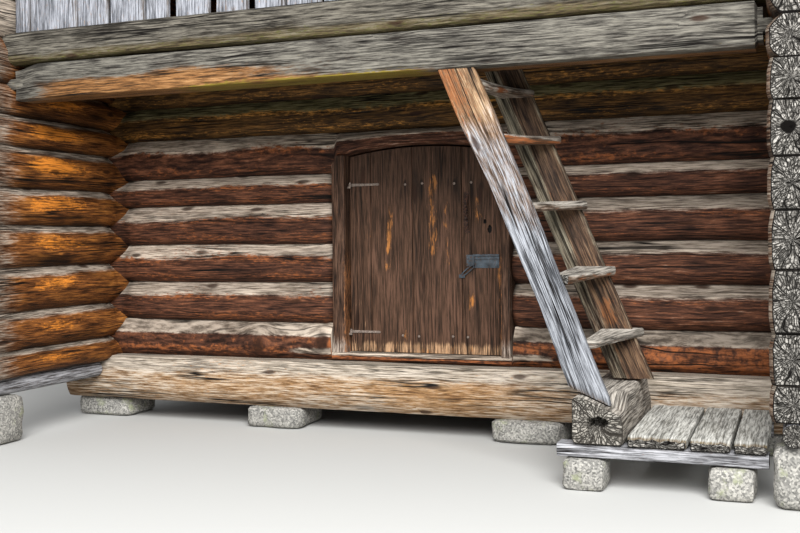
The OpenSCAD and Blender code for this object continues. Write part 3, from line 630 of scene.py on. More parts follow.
def sill_shape(a, s, side):
    return 0.045 * max(0.0, 1 - s / 0.4) ** 2 + 0.05 * max(0.0, (s - 0.55) / 0.45) ** 1.6


def sill_paint(a, s, side):
    # the log's underside, rounding in to its bed, is darkened as painted shade
    return 0.45 + 0.45 * step(0.62, 0.85, s) + 0.25 * lump(a * 0.8, s, 2), 0.18 + 0.3 * lump(a * 1.1, 3.3), \
        0.25 * step(0.25, 0.0, s)


work = new_mesh()
hew(work, "x", spread(box_sill[0].x, box_sill[1].x, 0.05, in_view), (sill_y + back_y) / 2,
    lambda a: box_sill[0].z, lambda a: box_sill[1].z + seam(a, 1), sill_shape, sill_paint, 9.1,
    thick=back_y - sill_y)
piece("front_sill_log", work, [sill_pine, grey_end], "sill_log", "front_sill")

# Side walls: the same hewn pine. In the recess the tar still glows orange behind the weathered
# ends, and outside the sun and the rain have taken most of it
side_pine = timber("side_wall_pine", "#3a2010", "#7d4c26", "#b37435", "#70655a", "#b7a999", "#e08a34",
                   relief=1.15)


def side_log(work, side, box, number, upper=False):
    """One log of a side wall; side is -1 for the left wall and 1 for the right."""
    seed = number * 1.91 + side
    z0, z1 = box[0].z, box[1].z
    pull = 0.018 * (0.5 + 0.5 * lump(seed, 8.8))
    closed_up = z1 <= beam_foot

    def shape(a, s, out):
        t = necked(a, [(front_y, corner), (rear_in, corner)]) if out == -side and not upper else 0.0
        # the ends of the lower logs are hewn nearly square, so that they close up one over another
        square = 0.75 * step(ends_y + 0.40, ends_y + 0.05, a) * closed_up
        return log_face(s, facet_line(a, seed)) * (1 - square) + dressed(t, s)

    def paint(a, s, out):
        line = facet_line(a, seed) + 0.08
        top = step(line - 0.08, line + 0.10, s)
        if out != -side:
            bleached = 0.66 + 0.35 * lump(a * 0.7, s * 1.2, seed)
            return max(top, bleached), 0.10 + 0.2 * lump(a * 1.2, seed), bed_shadow(s)
        if a > back_y or upper:
            front_end = step(ends_y + 0.40, ends_y + 0.25, a)
            open_end = max(front_end, step(rear_out - 0.06, rear_out + 0.04, a))
            return 0.1 + 0.8 * open_end, 0.15 - 0.1 * open_end, 0.25 - 0.2 * open_end
        outer = step(ends_y + 0.42 + 0.20 * lump(seed * 3, s * 3), ends_y + 0.05, a)
        glow = step(ends_y + 0.22, ends_y + 0.42, a) * step(front_y - 0.02, front_y - 0.30, a)
        place = 0.55 + 0.10 * lump(a * 2, seed)
        core = ends_y + 0.60 + 0.12 * lump(seed, 3.3)
        hot = math.exp(-((a - core) / 0.32) ** 2) * math.exp(-((s - place) / 0.22) ** 2)
        warm = (0.65 + 0.65 * step(0.9, 1.5, z0)) * glow * hot * (0.9 + 0.5 * lump(a * 4, s * 4, seed))
        # high under the loft the logs are painted darker, with less grey and less warmth, as painted shade
        # from the loft
        loft_shade = step(1.9, 2.3, (z0 + z1) / 2)
        rim_dark = step(0.25, 0.0, hot) * glow
        burnt = max(0.0, lump(a * 3.5, s * 3.5, seed + 4)) * glow
        # the band just over the seam below is darkened as painted shade
        return max(top * (0.75 - 0.5 * loft_shade), 0.55 * outer), max(0.12, warm * (1 - 0.4 * loft_shade)), \
            min(1.0, 0.5 * step(0.16, 0.0, s) + 0.25 * loft_shade + 0.8 * burnt + 0.4 * rim_dark * (1 - top)
                + 0.3 * outer)

    places = spread(box[0].y + pull, box[1].y - pull, 0.07, () if upper else [(ends_y, front_y)], 0.025)
    rows = (FINE, FINE) if not upper else (PLAIN, FINE) if side > 0 else (FINE, PLAIN)
    hew(work, "y", places, side * (room_x + log_t / 2), lambda a: z0 + seam(a, number + 40 * side),
        lambda a: z1 + seam(a, number + 1 + 40 * side), shape, paint, seed, rows)


# The gable logs end below the roof boards, at their slope
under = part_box("ridge_purlin")[1].z + 0.013
slope = 0.5
for side, word in ((-1, "left"), (1, "right")):
    for part, first in (("ground", 0), ("upper", 9)):
        node = word + "_wall_" + part
        work = new_mesh()
        for k, box in enumerate(solids(node)):
            side_log(work, side, box, first + k, part == "upper")
        piece(node + "_logs", work, [side_pine, grey_end], "side_log", node)
for side, word in ((-1, "left"), (1, "right")):
    work = new_mesh()
    for k, (low, high) in enumerate(solids(word + "_gable")):
        reach = min(abs(low.y), (under - low.z) / slope)
        hew(work, "y", spread(-reach, reach, 0.07), side * (room_x + log_t / 2), lambda a: low.z,
            lambda a: max(low.z + 0.004, min(high.z, under - abs(a) * slope)),
            lambda a, s, out: log_face(s, facet_line(a, 20 + k)),
            lambda a, s, out: (0.75, 0.15, bed_shadow(s)), 20 + k,
            (PLAIN, FINE) if side > 0 else (FINE, PLAIN))
    piece(word + "_gable_logs", work, [side_pine, grey_end], "side_log", word + "_gable")

for node, first in (("rear_wall_ground", 30), ("rear_wall_upper", 39)):
    work = new_mesh()
    for k, box in enumerate(solids(node)):
        front_log(work, box, first + k, cool=0.5, away=-1)
    piece(node + "_logs", work, [side_pine, grey_end], "tarred_log", node)

# Ground floor
# Sleepers of round spruce, let into the front and rear sills, and floor planks nailed across them.
# They lie in the dark behind the door.

# Indoor pine: no sun reaches it, so it stays light brown and dusty
inner_pine = timber("indoor_pine", "#4a3420", "#75573a", "#a07a52", "#6f6150", "#94836c", "#8a6236",
                    crack=0.6)


def rim(w, t, r, nw=4, nt=1):
    """Outline of a sawn board, w wide and t thick, its arrises worn round by r."""
    x, y = w / 2, t / 2
    r = min(r, 0.45 * t)
    c = 0.29 * r
    run = [-x + r + (w - 2 * r) * k / nw for k in range(nw + 1)]
    rise = [-y + r + (t - 2 * r) * k / nt for k in range(nt + 1)]
    return ([(p, -y) for p in run] + [(x - c, c - y)] + [(x, q) for q in rise] + [(x - c, y - c)]
            + [(p, y) for p in reversed(run)] + [(c - x, y - c)] + [(-x, q) for q in reversed(rise)]
            + [(c - x, c - y)])


def board(work, low, high, axis, seed, paint, pitch=0.2, r=0.008, nw=4, nt=1, wander=0.003, warp=0.002,
          rings=(0.94, 0.5)):
    """A board that fills a box: its edges wander a little and its faces cup. paint takes the length
    and the place across, from -1 to 1 in each direction."""
    along = "xyz".index(axis)
    wide, thin = [i for i in range(3) if i != along]
    size, middle = high - low, (low + high) / 2
    if size[wide] < size[thin]:
        wide, thin = thin, wide
    w, t = size[wide] - 2 * wander, size[thin] - 2 * warp
    shape = rim(w, t, r, nw, nt)

    def outline(a):
        left, right = wander * lump(a * 2.1, seed, 2), wander * lump(a * 2.1, seed, 7)
        return [(p + (right if p > 0 else left), q + warp * lump(a * 1.5, p * 4, seed)) for p, q in shape]

    def put(a, p, q):
        v = middle.copy()
        v[along], v[wide], v[thin] = a, v[wide] + p, v[thin] + q
        return v

    loft(work, spread(low[along], high[along], pitch), outline, put,
         lambda a, j, p, q: paint(a, 2 * p / w, 2 * q / t), seed, (wide, thin), rings, (0.0, -0.12))


def boards(name, node, materials, slot, axis, seed, paint, *sizes, body="building", **more):
    """A board for each solid of a node; paint gets the board's number first."""
    work = new_mesh()
    for n, (low, high) in enumerate(solids(node)):
        board(work, low, high, axis, n + seed, lambda a, p, q: paint(n, a, p, q), *sizes, **more)
    piece(name, work, materials, slot, node, body=body)


work = new_mesh()
for n, (low, high) in enumerate(solids("floor_sleepers")):
    round_pole(work, "y", low, high, n + 7.5, lambda a, j, p, q: (0.1, 0.2, 0.3), 0.3, 16, 0.02)
piece("round_sleepers", work, [inner_pine, grey_end], "inner_timber", "floor_sleepers")
boards("ground_floor_planks", "ground_floor", [inner_pine, grey_end], "inner_timber", "x", 0.3,
       lambda n, a, p, q: (0.3, 0.2, 0.1), 0.4, 0.006, 2, rings=(0.5,))

# Loft floor
# Hewn pine joists let into the side walls, and planks that run from the rear wall out over the
# recess, left open for the stair. Over the recess they are black underneath with smoke and age.

# Planks of the loft floor, smoked nearly black on their undersides
smoked_pine = timber("smoked_pine", "#120c07", "#241910", "#3b2a19", "#3a3226", "#5a4f3d", "#6d4a24",
                     crack=0.8, rough=0.7)


def loft_plank_paint(n, a, p, q):
    tone = 0.25 + 0.25 * lump(n * 2.7, 1)
    return tone, 0.15, 0.2 - tone / 3


boards("loft_joists_hewn", "loft_joists", [inner_pine, grey_end], "inner_timber", "x", 11,
       lambda n, a, p, q: (0.2, 0.3, 0.3), 0.2, 0.022, 2, 2, 0.006, 0.006)
boards("loft_floor_planks", "loft_floor", [smoked_pine, grey_end], "inner_timber", "y", 21.7,
       loft_plank_paint, 0.25, 0.005, 3, rings=(0.6,))

# Front beam
# A heavy squared pine beam across the recess, held by tenons in the side walls. It carries the sill
# beam and the top of the stair. Its face is silver with weather, its underside keeps some brown.

# Beam pine: its brown shows golden where rain has washed it, and algae colour the sheltered side
beam_pine = timber("washed_beam_pine", "#442f1c", "#805833", "#a87e52", "#302d2a", "#767269", "#7a6a28",
                   relief=1.1, knotty=0.1)
# Sill beam pine: a browner grey, pitted, olive with algae in the drip line
drip_pine = timber("drip_sill_pine", "#372d1f", "#63563d", "#847757", "#2b2722", "#706b61", "#5f5c2e",
                   relief=1.5, knotty=0.2)
beam_low, beam_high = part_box("front_beam")
beam_in = room_x - 0.012


def beam_cut(a):
    """How far the beam is bevelled towards its left end."""
    return step(-beam_in + 0.20, -beam_in, a)


def beam_outline(a):
    w, t = beam_high.y - beam_low.y, beam_high.z - beam_low.z
    ends = step(beam_in - 0.035, beam_in - 0.028, a)
    pairs = []
    for p, q in rim(t - 0.006, w - 0.006, 0.012, 8, 6):
        # p runs up the face, q back; rim is drawn lying down, so the two change places here
        wave = 0.005 * lump(a * 1.3, p * 6, 4.4) + 0.003 * lump(a * 5, p * 9, 1.2)
        face = q < 0
        bevel = beam_cut(a) * 0.035 * (1 - abs(p) / (t / 2) * 0.3) if face else 0
        droop = 0.03 * beam_cut(a) * (0.5 + p / t)
        pairs.append(((q + (wave if face else 0) + bevel) * (1 - 0.3 * ends), (p - droop) * (1 - 0.25 * ends)
                      + 0.006 * lump(a * 0.8, 9.1)))
    return pairs


def beam_paint(a, j, p, q):
    h = q / (beam_high.z - beam_low.z) + 0.5
    front = p < 0
    edge = 0.50 + 0.14 * lump(a * 1.6, 5) + 0.06 * lump(a * 7, 2)
    patch = step(-2.2, -1.7, a) * step(0.2, -0.9, a) * step(edge + 0.1, edge - 0.16, h)
    olive = step(-1.3, -0.6, a) * step(0.7, 0.3, a) * step(0.12, 0.0, h)
    grey = 0.92 - 0.85 * patch - 0.6 * olive - (0.5 if not front else 0.0) - 0.2 * step(0.1, 0.0, h)
    return grey, 0.12 + 0.9 * olive, \
        0.04 + 0.2 * (not front) + 0.15 * step(0.3, 0.8, lump(a * 0.9, 4.4) + 0.5)


beam_mid = (beam_low + beam_high) / 2
work = new_mesh()
loft(work, spread(-beam_in, beam_in, 0.05, [(-beam_in, -beam_in + 0.2), (beam_in - 0.06, beam_in)], 0.012),
     beam_outline, laid("x", beam_mid.y, beam_mid.z), beam_paint, 61, (1, 2))
# its tenons, through both side walls
board(work, Vector((-2.5, beam_low.y + 0.03, beam_mid.z - 0.04)),
      Vector((2.49, beam_high.y - 0.06, beam_mid.z + 0.03)), "x", 62, lambda a, p, q: (0.9, 0.2, 0.1),
      0.5, 0.008, 2)
piece("front_beam_hewn", work, [beam_pine, grey_end], "grey_beam", "front_beam")

# The sill beam on it, rougher and with deeper splits; the front boards stand on its back half
sill_low, sill_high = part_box("gallery_sill")
sill_mid = (sill_low + sill_high) / 2


def gallery_outline(a):
    w, t = sill_high.y - sill_low.y, sill_high.z - sill_low.z
    pairs = []
    for p, q in rim(t - 0.008, w - 0.010, 0.045, 8, 6):
        rough = 0.010 * lump(a * 1.7, p * 9, 2.2) + 0.006 * lump(a * 7, p * 22, 3.2)
        pairs.append((q + (rough if q < 0 else 0),
                      p + 0.006 * lump(a * 1.1, 6.3) + 0.004 * lump(a * 3.7, q * 9)))
    return pairs


def gallery_paint(a, j, p, q):
    h = q / (sill_high.z - sill_low.z) + 0.5
    low_side = step(0.42 + 0.18 * lump(a * 1.8, 8), 0.15, h)
    return 0.9 - 0.6 * low_side, 0.15 + 0.3 * low_side, 0.05 + 0.2 * low_side


work = new_mesh()
loft(work, spread(sill_low.x, sill_high.x, 0.04), gallery_outline, laid("x", sill_mid.y, sill_mid.z),
     gallery_paint, 65, (1, 2))
piece("gallery_sill_beam", work, [drip_pine, grey_end], "grey_beam", "gallery_sill")

# Front boards
# Upright spruce boards of uneven widths, planed once and then left to the weather. They stand on
# the sill beam with gaps between, and are nailed to it behind.

# Spruce that has gone the pale blue-grey of old boards in the sun, with darker streaks down the grain
grey_spruce = timber("grey_spruce", "#54483d", "#776754", "#98866f", "#666970", "#a6a8af", "#9c7854",
                     crack=0.5, rough=0.8, knotty=0.12)


def front_board_paint(n, a, p, q):
    tone = lump(n * 3.3, 2)
    return 0.9 - 0.2 * max(0, tone) - 0.3 * (p > 0.8), 0.25 + 0.25 * tone, \
        0.12 + 0.12 * tone + 0.25 * step(2.56, 2.47, a)


boards("front_boards", "gallery_boards", [grey_spruce, grey_end], "grey_board", "z", 71.3, front_board_paint,
       0.2, 0.005, 5)

# The plate lies on the side walls behind the boards' tops and carries the eaves
low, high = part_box("front_plate")
work = new_mesh()
board(work, low, Vector((high.x, high.y, high.z - 0.06)), "x", 91, lambda a, p, q: (0.7, 0.3, 0.15), 0.12,
      0.05, 5, 5, 0.008, 0.008)
piece("front_eaves_plate", work, [side_pine, grey_end], "side_log", "front_plate")

# Door frame
# Two pine planks fixed to the cut log ends, which stop the logs from working out of line. The arch
# over them is cut in the lintel log.

# Pine planks of the frame, grey-brown, with arrises worn pale by hands and loads
frame_pine = timber("frame_pine", "#2e1f17", "#513a2c", "#705545", "#7d6e62", "#bfb0a2", "#a06a42", crack=0.7)

work = new_mesh()
for n, (low, high) in enumerate(jambs):
    inward = 1 if n == 0 else -1

    def jamb_paint(a, q, p):
        outer = step(-0.7, -0.95, p * inward)
        inner = step(0.6, 0.9, p * inward) * step(1.3, 1.0, a)
        foot = step(low.z + 0.16, low.z + 0.05, a)
        return 0.3 * outer + 0.6 * foot - 0.1, 0.15 + 0.4 * inner, 0.2 - 0.2 * foot

    board(work, low, high, "z", n + 95.2, jamb_paint, 0.05, 0.010, 8, 5, 0.002, 0.003)
piece("door_jamb_planks", work, [frame_pine, grey_end], "door_wood", "door_jambs")

# Door leaf
# Upright pine planks, clenched with forged nails to two ledges behind. The head follows the arch,
# and the foot is worn and splashed pale.

leaf_low, leaf_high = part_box("door_leaf")
nail_rows = [(1.60, (-0.045, 0.073, 0.290, 0.404)), (0.615, (-0.070, 0.041, 0.273, 0.373))]
plank_lines = [leaf_low.x, -0.29, 0.002, 0.338, leaf_high.x]
# Where the surface has flaked: middle, half width, lowest and highest place, and how strongly
flakes = [(-0.160, 0.020, 1.08, 1.52, 1.1), (-0.17, 0.045, 0.98, 1.18, 0.6), (0.150, 0.035, 1.06, 1.74, 0.75),
          (0.235, 0.020, 1.0, 1.55, 0.55), (0.44, 0.03, 1.30, 1.6, 0.7), (0.40, 0.03, 0.70, 1.0, 0.6),
          (-0.06, 0.03, 0.50, 0.72, 0.7), (0.17, 0.07, 0.48, 0.60, 0.6), (0.585, 0.010, 0.55, 1.3, 0.7),
          (-0.05, 0.012, 1.38, 1.60, 0.6), (0.33, 0.03, 0.48, 0.58, 0.6), (-0.30, 0.05, 1.15, 1.40, 0.3)]
# The old door is dark brown, and its wear runs down the grain: orange where the surface has flaked,
# pale at the foot
door_pine = timber("door_pine", "#35251b", "#4e382a", "#65493a", "#79604a", "#cba27c", "#b9793f", crack=0.8,
                   knotty=0.45)


def leaf_top(x):
    return leaf_high.z - arch_r + math.sqrt(arch_r ** 2 - (x - arch_mid) ** 2)


work = new_mesh()
for n, (x0, x1) in enumerate(zip(plank_lines, plank_lines[1:])):
    w, t = x1 - x0 - 0.003, leaf_high.y - leaf_low.y - 0.002
    columns = max(6, round(w / 0.012))
    middle = (x0 + x1) / 2

    def leaf_outline(a):
        return [(p + 0.0015 * lump(a * 3, n, p > 0), q + (0.0012 * lump(a * 2, p * 9, n) if q < 0 else 0))
                for p, q in rim(w, t, 0.004, columns, 1)]

    def leaf_place(a, p, q):
        x = middle + p
        return Vector((x, (leaf_low.y + leaf_high.y) / 2 + q, leaf_low.z + a * (leaf_top(x) - leaf_low.z)))

    def leaf_paint(a, j, p, q):
        x, z = middle + p, leaf_low.z + a * (leaf_high.z - leaf_low.z)
        foot = step(0.62 + 0.03 * lump(x * 14, 2), 0.54, z)
        right = step(0.025, 0.008, leaf_high.x - x) * step(1.35, 1.2, z)
        flaked = 0.0
        for mark, wide, z0, z1, force in flakes:
            sway = mark + 0.012 * lump(z * 4, mark * 9)
            ends = step(z0, z0 + 0.12, z) * step(z1, z1 - 0.12, z)
            near = math.exp(-((x - sway) / wide) ** 2)
            flaked = max(flaked, force * ends * near * (0.75 + 0.6 * lump(x * 30, z * 9)))
        eaten = step(0.16, 0.05, math.hypot((x + 0.37) * 1.6, (z - 0.76) * 0.8)) \
            * step(0.0, 0.3, lump(x * 9, z * 7) + 0.2)
        tear = max(step(0.018, 0.006, abs(x - mark)) * step(0.16, 0.03, level - z) * (z < level + 0.02)
                   for level, marks in nail_rows for mark in marks)
        warm = min(1.0, 0.95 * flaked + 0.35 * foot * step(-0.1, 0.3, lump(x * 12, z * 5)))
        grey = 1.05 * foot * (0.7 + 0.4 * lump(x * 20, z * 6)) + 0.6 * right + 0.5 * eaten - 0.22
        return min(1.0, grey), warm, 0.04 + 0.6 * tear * (1 - flaked) + 0.28 * step(1.30, 1.75, z)

    loft(work, [k / 60 for k in range(61)], leaf_outline, leaf_place, leaf_paint, n + 101.4, (0, 1),
         (0.9, 0.5))


def front_faces(x, z, wide, tall):
    """Faces of the leaf's front inside an oval."""
    centres = ((f, f.calc_center_median()) for f in work.faces)
    return [f for f, c in centres if abs(c.y - leaf_low.y) < 0.005
            and ((c.x - x) / wide) ** 2 + ((c.z - z) / tall) ** 2 < 1]


# Two worn keyholes, right of the handle, bored into the right-hand plank
for x, z, wide, tall in ((0.493, 1.349, 0.011, 0.015), (0.524, 1.302, 0.014, 0.026)):
    around = front_faces(x, z, wide + 0.014, tall + 0.020)
    bmesh.ops.subdivide_edges(work, edges=list({e for f in around for e in f.edges}), cuts=3,
                              use_grid_fill=True)
    mouth = front_faces(x, z, wide, tall)
    made = bmesh.ops.extrude_face_region(work, geom=mouth)["geom"]
    deep = [g for g in made if isinstance(g, bmesh.types.BMVert)]
    bmesh.ops.delete(work, geom=[f for f in mouth if f.is_valid], context="FACES")
    bmesh.ops.translate(work, verts=deep, vec=(0, 0.022, 0))
    for f in {f for v in deep for f in v.link_faces}:
        f.material_index = 1
# the worn inside of a keyhole, where no light falls
dark_hole, add = blank("shadowed_keyhole")
soot = add("TexNoise", Vector=add("TexCoord").outputs["Object"], Scale=300.0)
depth = add("ValToRGB", soot, ramp=[(0.3, "#060403"), (0.7, "#120c08")])
add("OutputMaterial", add("BsdfPrincipled", Base_Color=depth, Roughness=0.95))
piece("door_planks", work, [door_pine, dark_hole], "door_wood", "door_leaf", body="door")

boards("door_ledge_boards", "door_ledges", [inner_pine, grey_end], "door_wood", "x", 111,
       lambda n, a, p, q: (0.2, 0.3, 0.2), 0.1, 0.008, 3, body="door")

# Door ironwork
# Hand-forged strap hinges on pintles, clenched nails, a twisted bow handle, and a lock plate with
# its hasp. All are bare iron with brown rust, but the lock keeps some grey-blue paint.


def forged(name, pit, rust, crust, metal):
    """Hammered iron: brown scales of rust, rougher than the metal that is rubbed bare between them."""
    made, add = blank(name)
    place = add("TexCoord").outputs["Object"]
    scale_rust = add("TexNoise", Vector=place, Scale=160.0, Detail=6.0, Roughness=0.7)
    blooms = add("TexNoise", Vector=place, Scale=35.0, Detail=4.0)
    hue = add("ValToRGB", scale_rust, ramp=[(0.3, pit), (0.5, rust), (0.72, crust)])
    bare = add("MapRange", blooms, 0.6, 0.7, To_Max=0.7)
    hammer = add("Bump", Strength=0.7, Distance=0.0015, Height=scale_rust)
    add("OutputMaterial", add(
        "BsdfPrincipled", Base_Color=add("MixRGB", bare, hue, metal), Normal=hammer,
        Metallic=add("Math", bare, 0.8, operation="MULTIPLY"),
        Roughness=add("MapRange", bare, To_Min=0.85, To_Max=0.5)))
    return made


# Straps and nails: wrought iron rubbed to a pale brown grey
wrought_iron = forged("rubbed_wrought_iron", "#3f352f", "#6c5f56", "#a09184", "#7d766e")
# The handle: the same iron, dark with deep rust in its twists; its pale rust crust is also painted highlights
rusty_iron = forged("rusted_handle_iron", "#060302", "#22130b", "#7d4b30", "#241f1c")

pin_low, pin_high = solids("door_pintles")[0]


def plain(a, j, p, q):
    return 0.0, 0.0, 0.0


work = new_mesh()
for low, high in solids("door_straps"):
    middle = (low.z + high.z) / 2
    eye = Vector(((pin_low.x + pin_high.x) / 2 + 0.0045, low.y + 0.0100, middle))
    # the eye is rolled from the strap's own end
    made = bmesh.ops.create_circle(work, segments=20, radius=0.0100)["verts"]
    inner = bmesh.ops.create_circle(work, segments=20, radius=0.0062)["verts"]
    for v in made + inner:
        v.co += eye - Vector((0, 0, (high.z - low.z) / 2))
    rims = list({e for v in made + inner for e in v.link_edges})
    band = bmesh.ops.bridge_loops(work, edges=rims)["faces"]
    top = bmesh.ops.extrude_face_region(work, geom=band)["geom"]
    bmesh.ops.translate(work, verts=[g for g in top if isinstance(g, bmesh.types.BMVert)],
                        vec=(0, 0, high.z - low.z))
    x0, x1, face = eye.x + 0.004, high.x, high.y

    def strap_outline(a):
        t = (a - x0) / (x1 - x0)
        half = 0.5 * (high.z - low.z) * (1 - 0.25 * t + 0.12 * step(0.78, 0.92, t))
        if t > 0.93:
            half *= math.sqrt(max(0.03, 1 - ((t - 0.93) / 0.07) ** 2))
        return [(q * 0.0052 / 0.005, p * half / 0.012) for p, q in rim(0.024, 0.005, 0.0015, 4, 1)]

    loft(work, spread(x0, x1, 0.012, [(x1 - 0.014, x1)], 0.0015), strap_outline,
         laid("x", face - 0.0028, middle), plain, 1, (1, 2), (0.5,))
    for share in (0.45, 0.86):
        head = bmesh.ops.create_uvsphere(work, u_segments=8, v_segments=5, radius=0.0065)["verts"]
        for v in head:
            v.co = Vector((x0 + share * (x1 - x0) + v.co.x, face - 0.0052 + v.co.y * 0.45, middle + v.co.z))
piece("forged_straps", work, [wrought_iron], "wrought_iron", "door_straps", body="door")

work = new_mesh()
for level, marks in nail_rows:
    for mark in marks:
        head = bmesh.ops.create_icosphere(work, subdivisions=2, radius=0.0085)["verts"]
        for v in head:
            v.co = Vector((mark + v.co.x * (1 + 0.15 * lump(mark * 40, 1)), leaf_low.y + v.co.y * 0.35,
                           level + v.co.z + 0.006 * lump(mark * 60, 5)))
piece("clenched_nails", work, [wrought_iron], "wrought_iron", body="door")

# The pintles are plain pins and plates, shown as the solids have them
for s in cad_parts["door_pintles"].material_slots:
    s.material = wrought_iron

# Bow handle: a square bar twisted along its middle, its ends beaten flat and nailed
low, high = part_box("door_handle")
grip_x, z0, z1 = (low.x + high.x) / 2, low.z, high.z
work = new_mesh()


def grip_outline(a):
    t = (a - z0) / (z1 - z0)
    ends = 1 - step(0.0, 0.16, t) * step(1.0, 0.84, t)
    w = 0.028 + 0.008 * ends * math.sqrt(max(0.05, min(1.0, min(t, 1 - t) / 0.05)))
    d = 0.018 - 0.0155 * ends
    turn = math.tau * 1.5 * step(0.2, 0.8, t)
    c, s = math.cos(turn), math.sin(turn)
    return [(p * c - q * s, p * s + q * c) for p, q in rim(w, d, 0.002, 2, 2)]


def grip_place(a, p, q):
    t = (a - z0) / (z1 - z0)
    out = 0.026 * step(0.04, 0.26, t) * step(0.96, 0.74, t)
    return Vector((grip_x + p + 0.003 * lump(t * 4, 2), leaf_low.y - 0.0015 - out + q, a))


loft(work, spread(z0, z1, 0.004), grip_outline, grip_place, plain, 3, (0, 1), (0.5,))
piece("twisted_bow_handle", work, [rusty_iron], "wrought_iron", "door_handle", body="door")

# Lock iron: sheet with grey-blue paint, chipped to rust at its edges
lock_iron, add = blank("painted_lock_iron")
place = add("TexCoord").outputs["Object"]
chips = add("TexNoise", Vector=place, Scale=60.0, Detail=6.0, Roughness=0.7)
film = add("TexNoise", Vector=place, Scale=16.0, Detail=4.0)
paint_hue = add("ValToRGB", film, ramp=[(0.3, "#151a1f"), (0.7, "#4d5963")])
chipped = add("MapRange", chips, 0.56, 0.62)
coat = add("MixRGB", chipped, paint_hue, "#4a3428")
dent = add("Bump", Strength=0.5, Distance=0.001, Height=chips)
dull = add("MapRange", chipped, To_Min=0.45, To_Max=0.85)
add("OutputMaterial", add("BsdfPrincipled", Base_Color=coat, Metallic=0.2, Normal=dent, Roughness=dull))

low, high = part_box("door_lock")
work = new_mesh()


def plate(x0, x1, z0, z1, y0, y1, r=0.0015):
    board(work, Vector((x0, y0, z0)), Vector((x1, y1, z1)), "x", 0, lambda a, p, q: (0, 0, 0), 0.03, r, 2, 1,
          0.0006, 0.0003, rings=(0.6,))


lock_x1, lock_z0, lock_z1 = high.x, high.z - 0.088, high.z
lock_x0 = lock_x1 - 0.214
plate(lock_x0 + 0.043, lock_x1, lock_z0, lock_z1, high.y - 0.0035, high.y)
# two folded rails guide the bolt along the plate's upper half
plate(lock_x0, lock_x1, lock_z1 - 0.015, lock_z1 - 0.004, high.y - 0.0118, high.y, 0.003)
plate(lock_x0 + 0.050, lock_x1, lock_z1 - 0.034, lock_z1 - 0.026, high.y - 0.009, high.y, 0.003)
plate(lock_x0 + 0.060, lock_x1 - 0.012, lock_z0 + 0.010, lock_z1 - 0.044, high.y - 0.0055, high.y, 0.001)
plate(lock_x0 + 0.002, lock_x0 + 0.054, lock_z0 + 0.011, lock_z1 - 0.006, high.y - 0.0098, high.y, 0.003)
rivets = ((lock_x0 + 0.014, lock_z1 - 0.03), (lock_x0 + 0.036, lock_z0 + 0.022),
          (lock_x1 - 0.012, lock_z0 + 0.01))
for x, z in rivets:
    made = bmesh.ops.create_uvsphere(work, u_segments=12, v_segments=6, radius=0.005)
    bmesh.ops.translate(work, verts=made["verts"], vec=(x, high.y - 0.0095, z))
# The hanging link: a flat bar bent round into a long loop, and turned down to the left
root = Vector((lock_x0 + 0.051, high.y - 0.0105, lock_z0 + 0.018))
slant = Matrix.Rotation(math.radians(-39), 3, "Y")
link_long = 0.105
link_half = 0.011


def link_place(a, p, q):
    """a runs once round the loop: out along its upper side, and back along the lower."""
    t = (a % 1.0) * 2
    share, way = (t, 1) if t < 1 else (2 - t, -1)
    swing = math.sin(math.pi * share) ** 0.25 * (link_half * way)
    return root + slant @ (Vector((-share * link_long, 0, swing)) + Vector((0, 0, way)) * p) \
        + Vector((0, q, 0))


loft(work, [k / 48 for k in range(49)], lambda a: rim(0.0075, 0.006, 0.0015, 1, 1), link_place, plain, 5,
     (0, 2), (0.5,))
plate(root.x - 0.1, root.x - 0.062, root.z - 0.082, root.z - 0.058, high.y - 0.012, high.y - 0.004, 0.002)
piece("lock_plate_and_hasp", work, [lock_iron, lock_iron], "lock_iron", "door_lock", body="door")

# Stair
# A steep ladder stair: two hewn pine planks with housed treads. The near plank leans on the front
# beam and stands on the block, and the far plank rises through the loft floor.

# Stair timber: grey-brown and rubbed, reddish where the surface has worn through
stair_pine = timber("stair_pine", "#2e2018", "#5c4636", "#85694f", "#6a6253", "#a39a86", "#96623c", crack=0.7,
                    relief=1.3, knotty=0.4)
# The near plank stands out in the rain: blue-grey below, mottled beige between, orange-brown on top
ladder_pine = timber("ladder_pine", "#4a3525", "#8a6c50", "#c4a681", "#5e6167", "#abaeb4", "#96603a",
                     crack=1.1, relief=1.4, knotty=0.25)
# Treads and block: the same pine rubbed pale by boots
rubbed_pine = timber("boot_rubbed_pine", "#3f3026", "#6f5a48", "#96806a", "#6f6961", "#bdb6ab", "#965c38",
                     crack=0.8, relief=0.8, knotty=0.15)
near_low, near_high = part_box("near_stringer")
far_low, far_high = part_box("far_stringer")
stair_lean = math.radians(67.5)
cot = 1 / math.tan(stair_lean)
near_wide, far_wide = (wide / math.sin(stair_lean) for wide in (0.190, 0.210))
# How far the near plank's foot and its seat on the block fall per metre to the right
foot_fall = 0.546
seat_fall = 0.445


def near_left(z):
    """Left edge of the near plank at a height."""
    return near_low.x + (near_high.z - z) * cot


def far_left(z):
    """Left edge of the far plank at a height."""
    return far_low.x + (far_high.z - z) * cot


work = new_mesh()


def near_outline(a):
    """The near plank: straight edges that the axe left uneven, hollowed a little on the face."""
    left = 0.022 * step(1.95, 1.45, a) * step(0.5, 0.9, a) + 0.004 * lump(a * 3, 2)
    right = 0.022 * step(1.6, 0.6, a) + 0.004 * lump(a * 4, 8) + 0.008 * step(0.56, 0.50, a)
    pairs = []
    for p, q in rim(near_wide - 0.004, near_high.y - near_low.y - 0.004, 0.010, 16, 2):
        share = p / near_wide + 0.5
        p += left * (1 - share) - right * share
        cup = 0.004 * lump(a * 1.2, p * 14, 4) + 0.0015 * lump(a * 9, p * 60, 4)
        pairs.append((p, q + (cup - 0.002 if q < 0 else 0)))
    return pairs


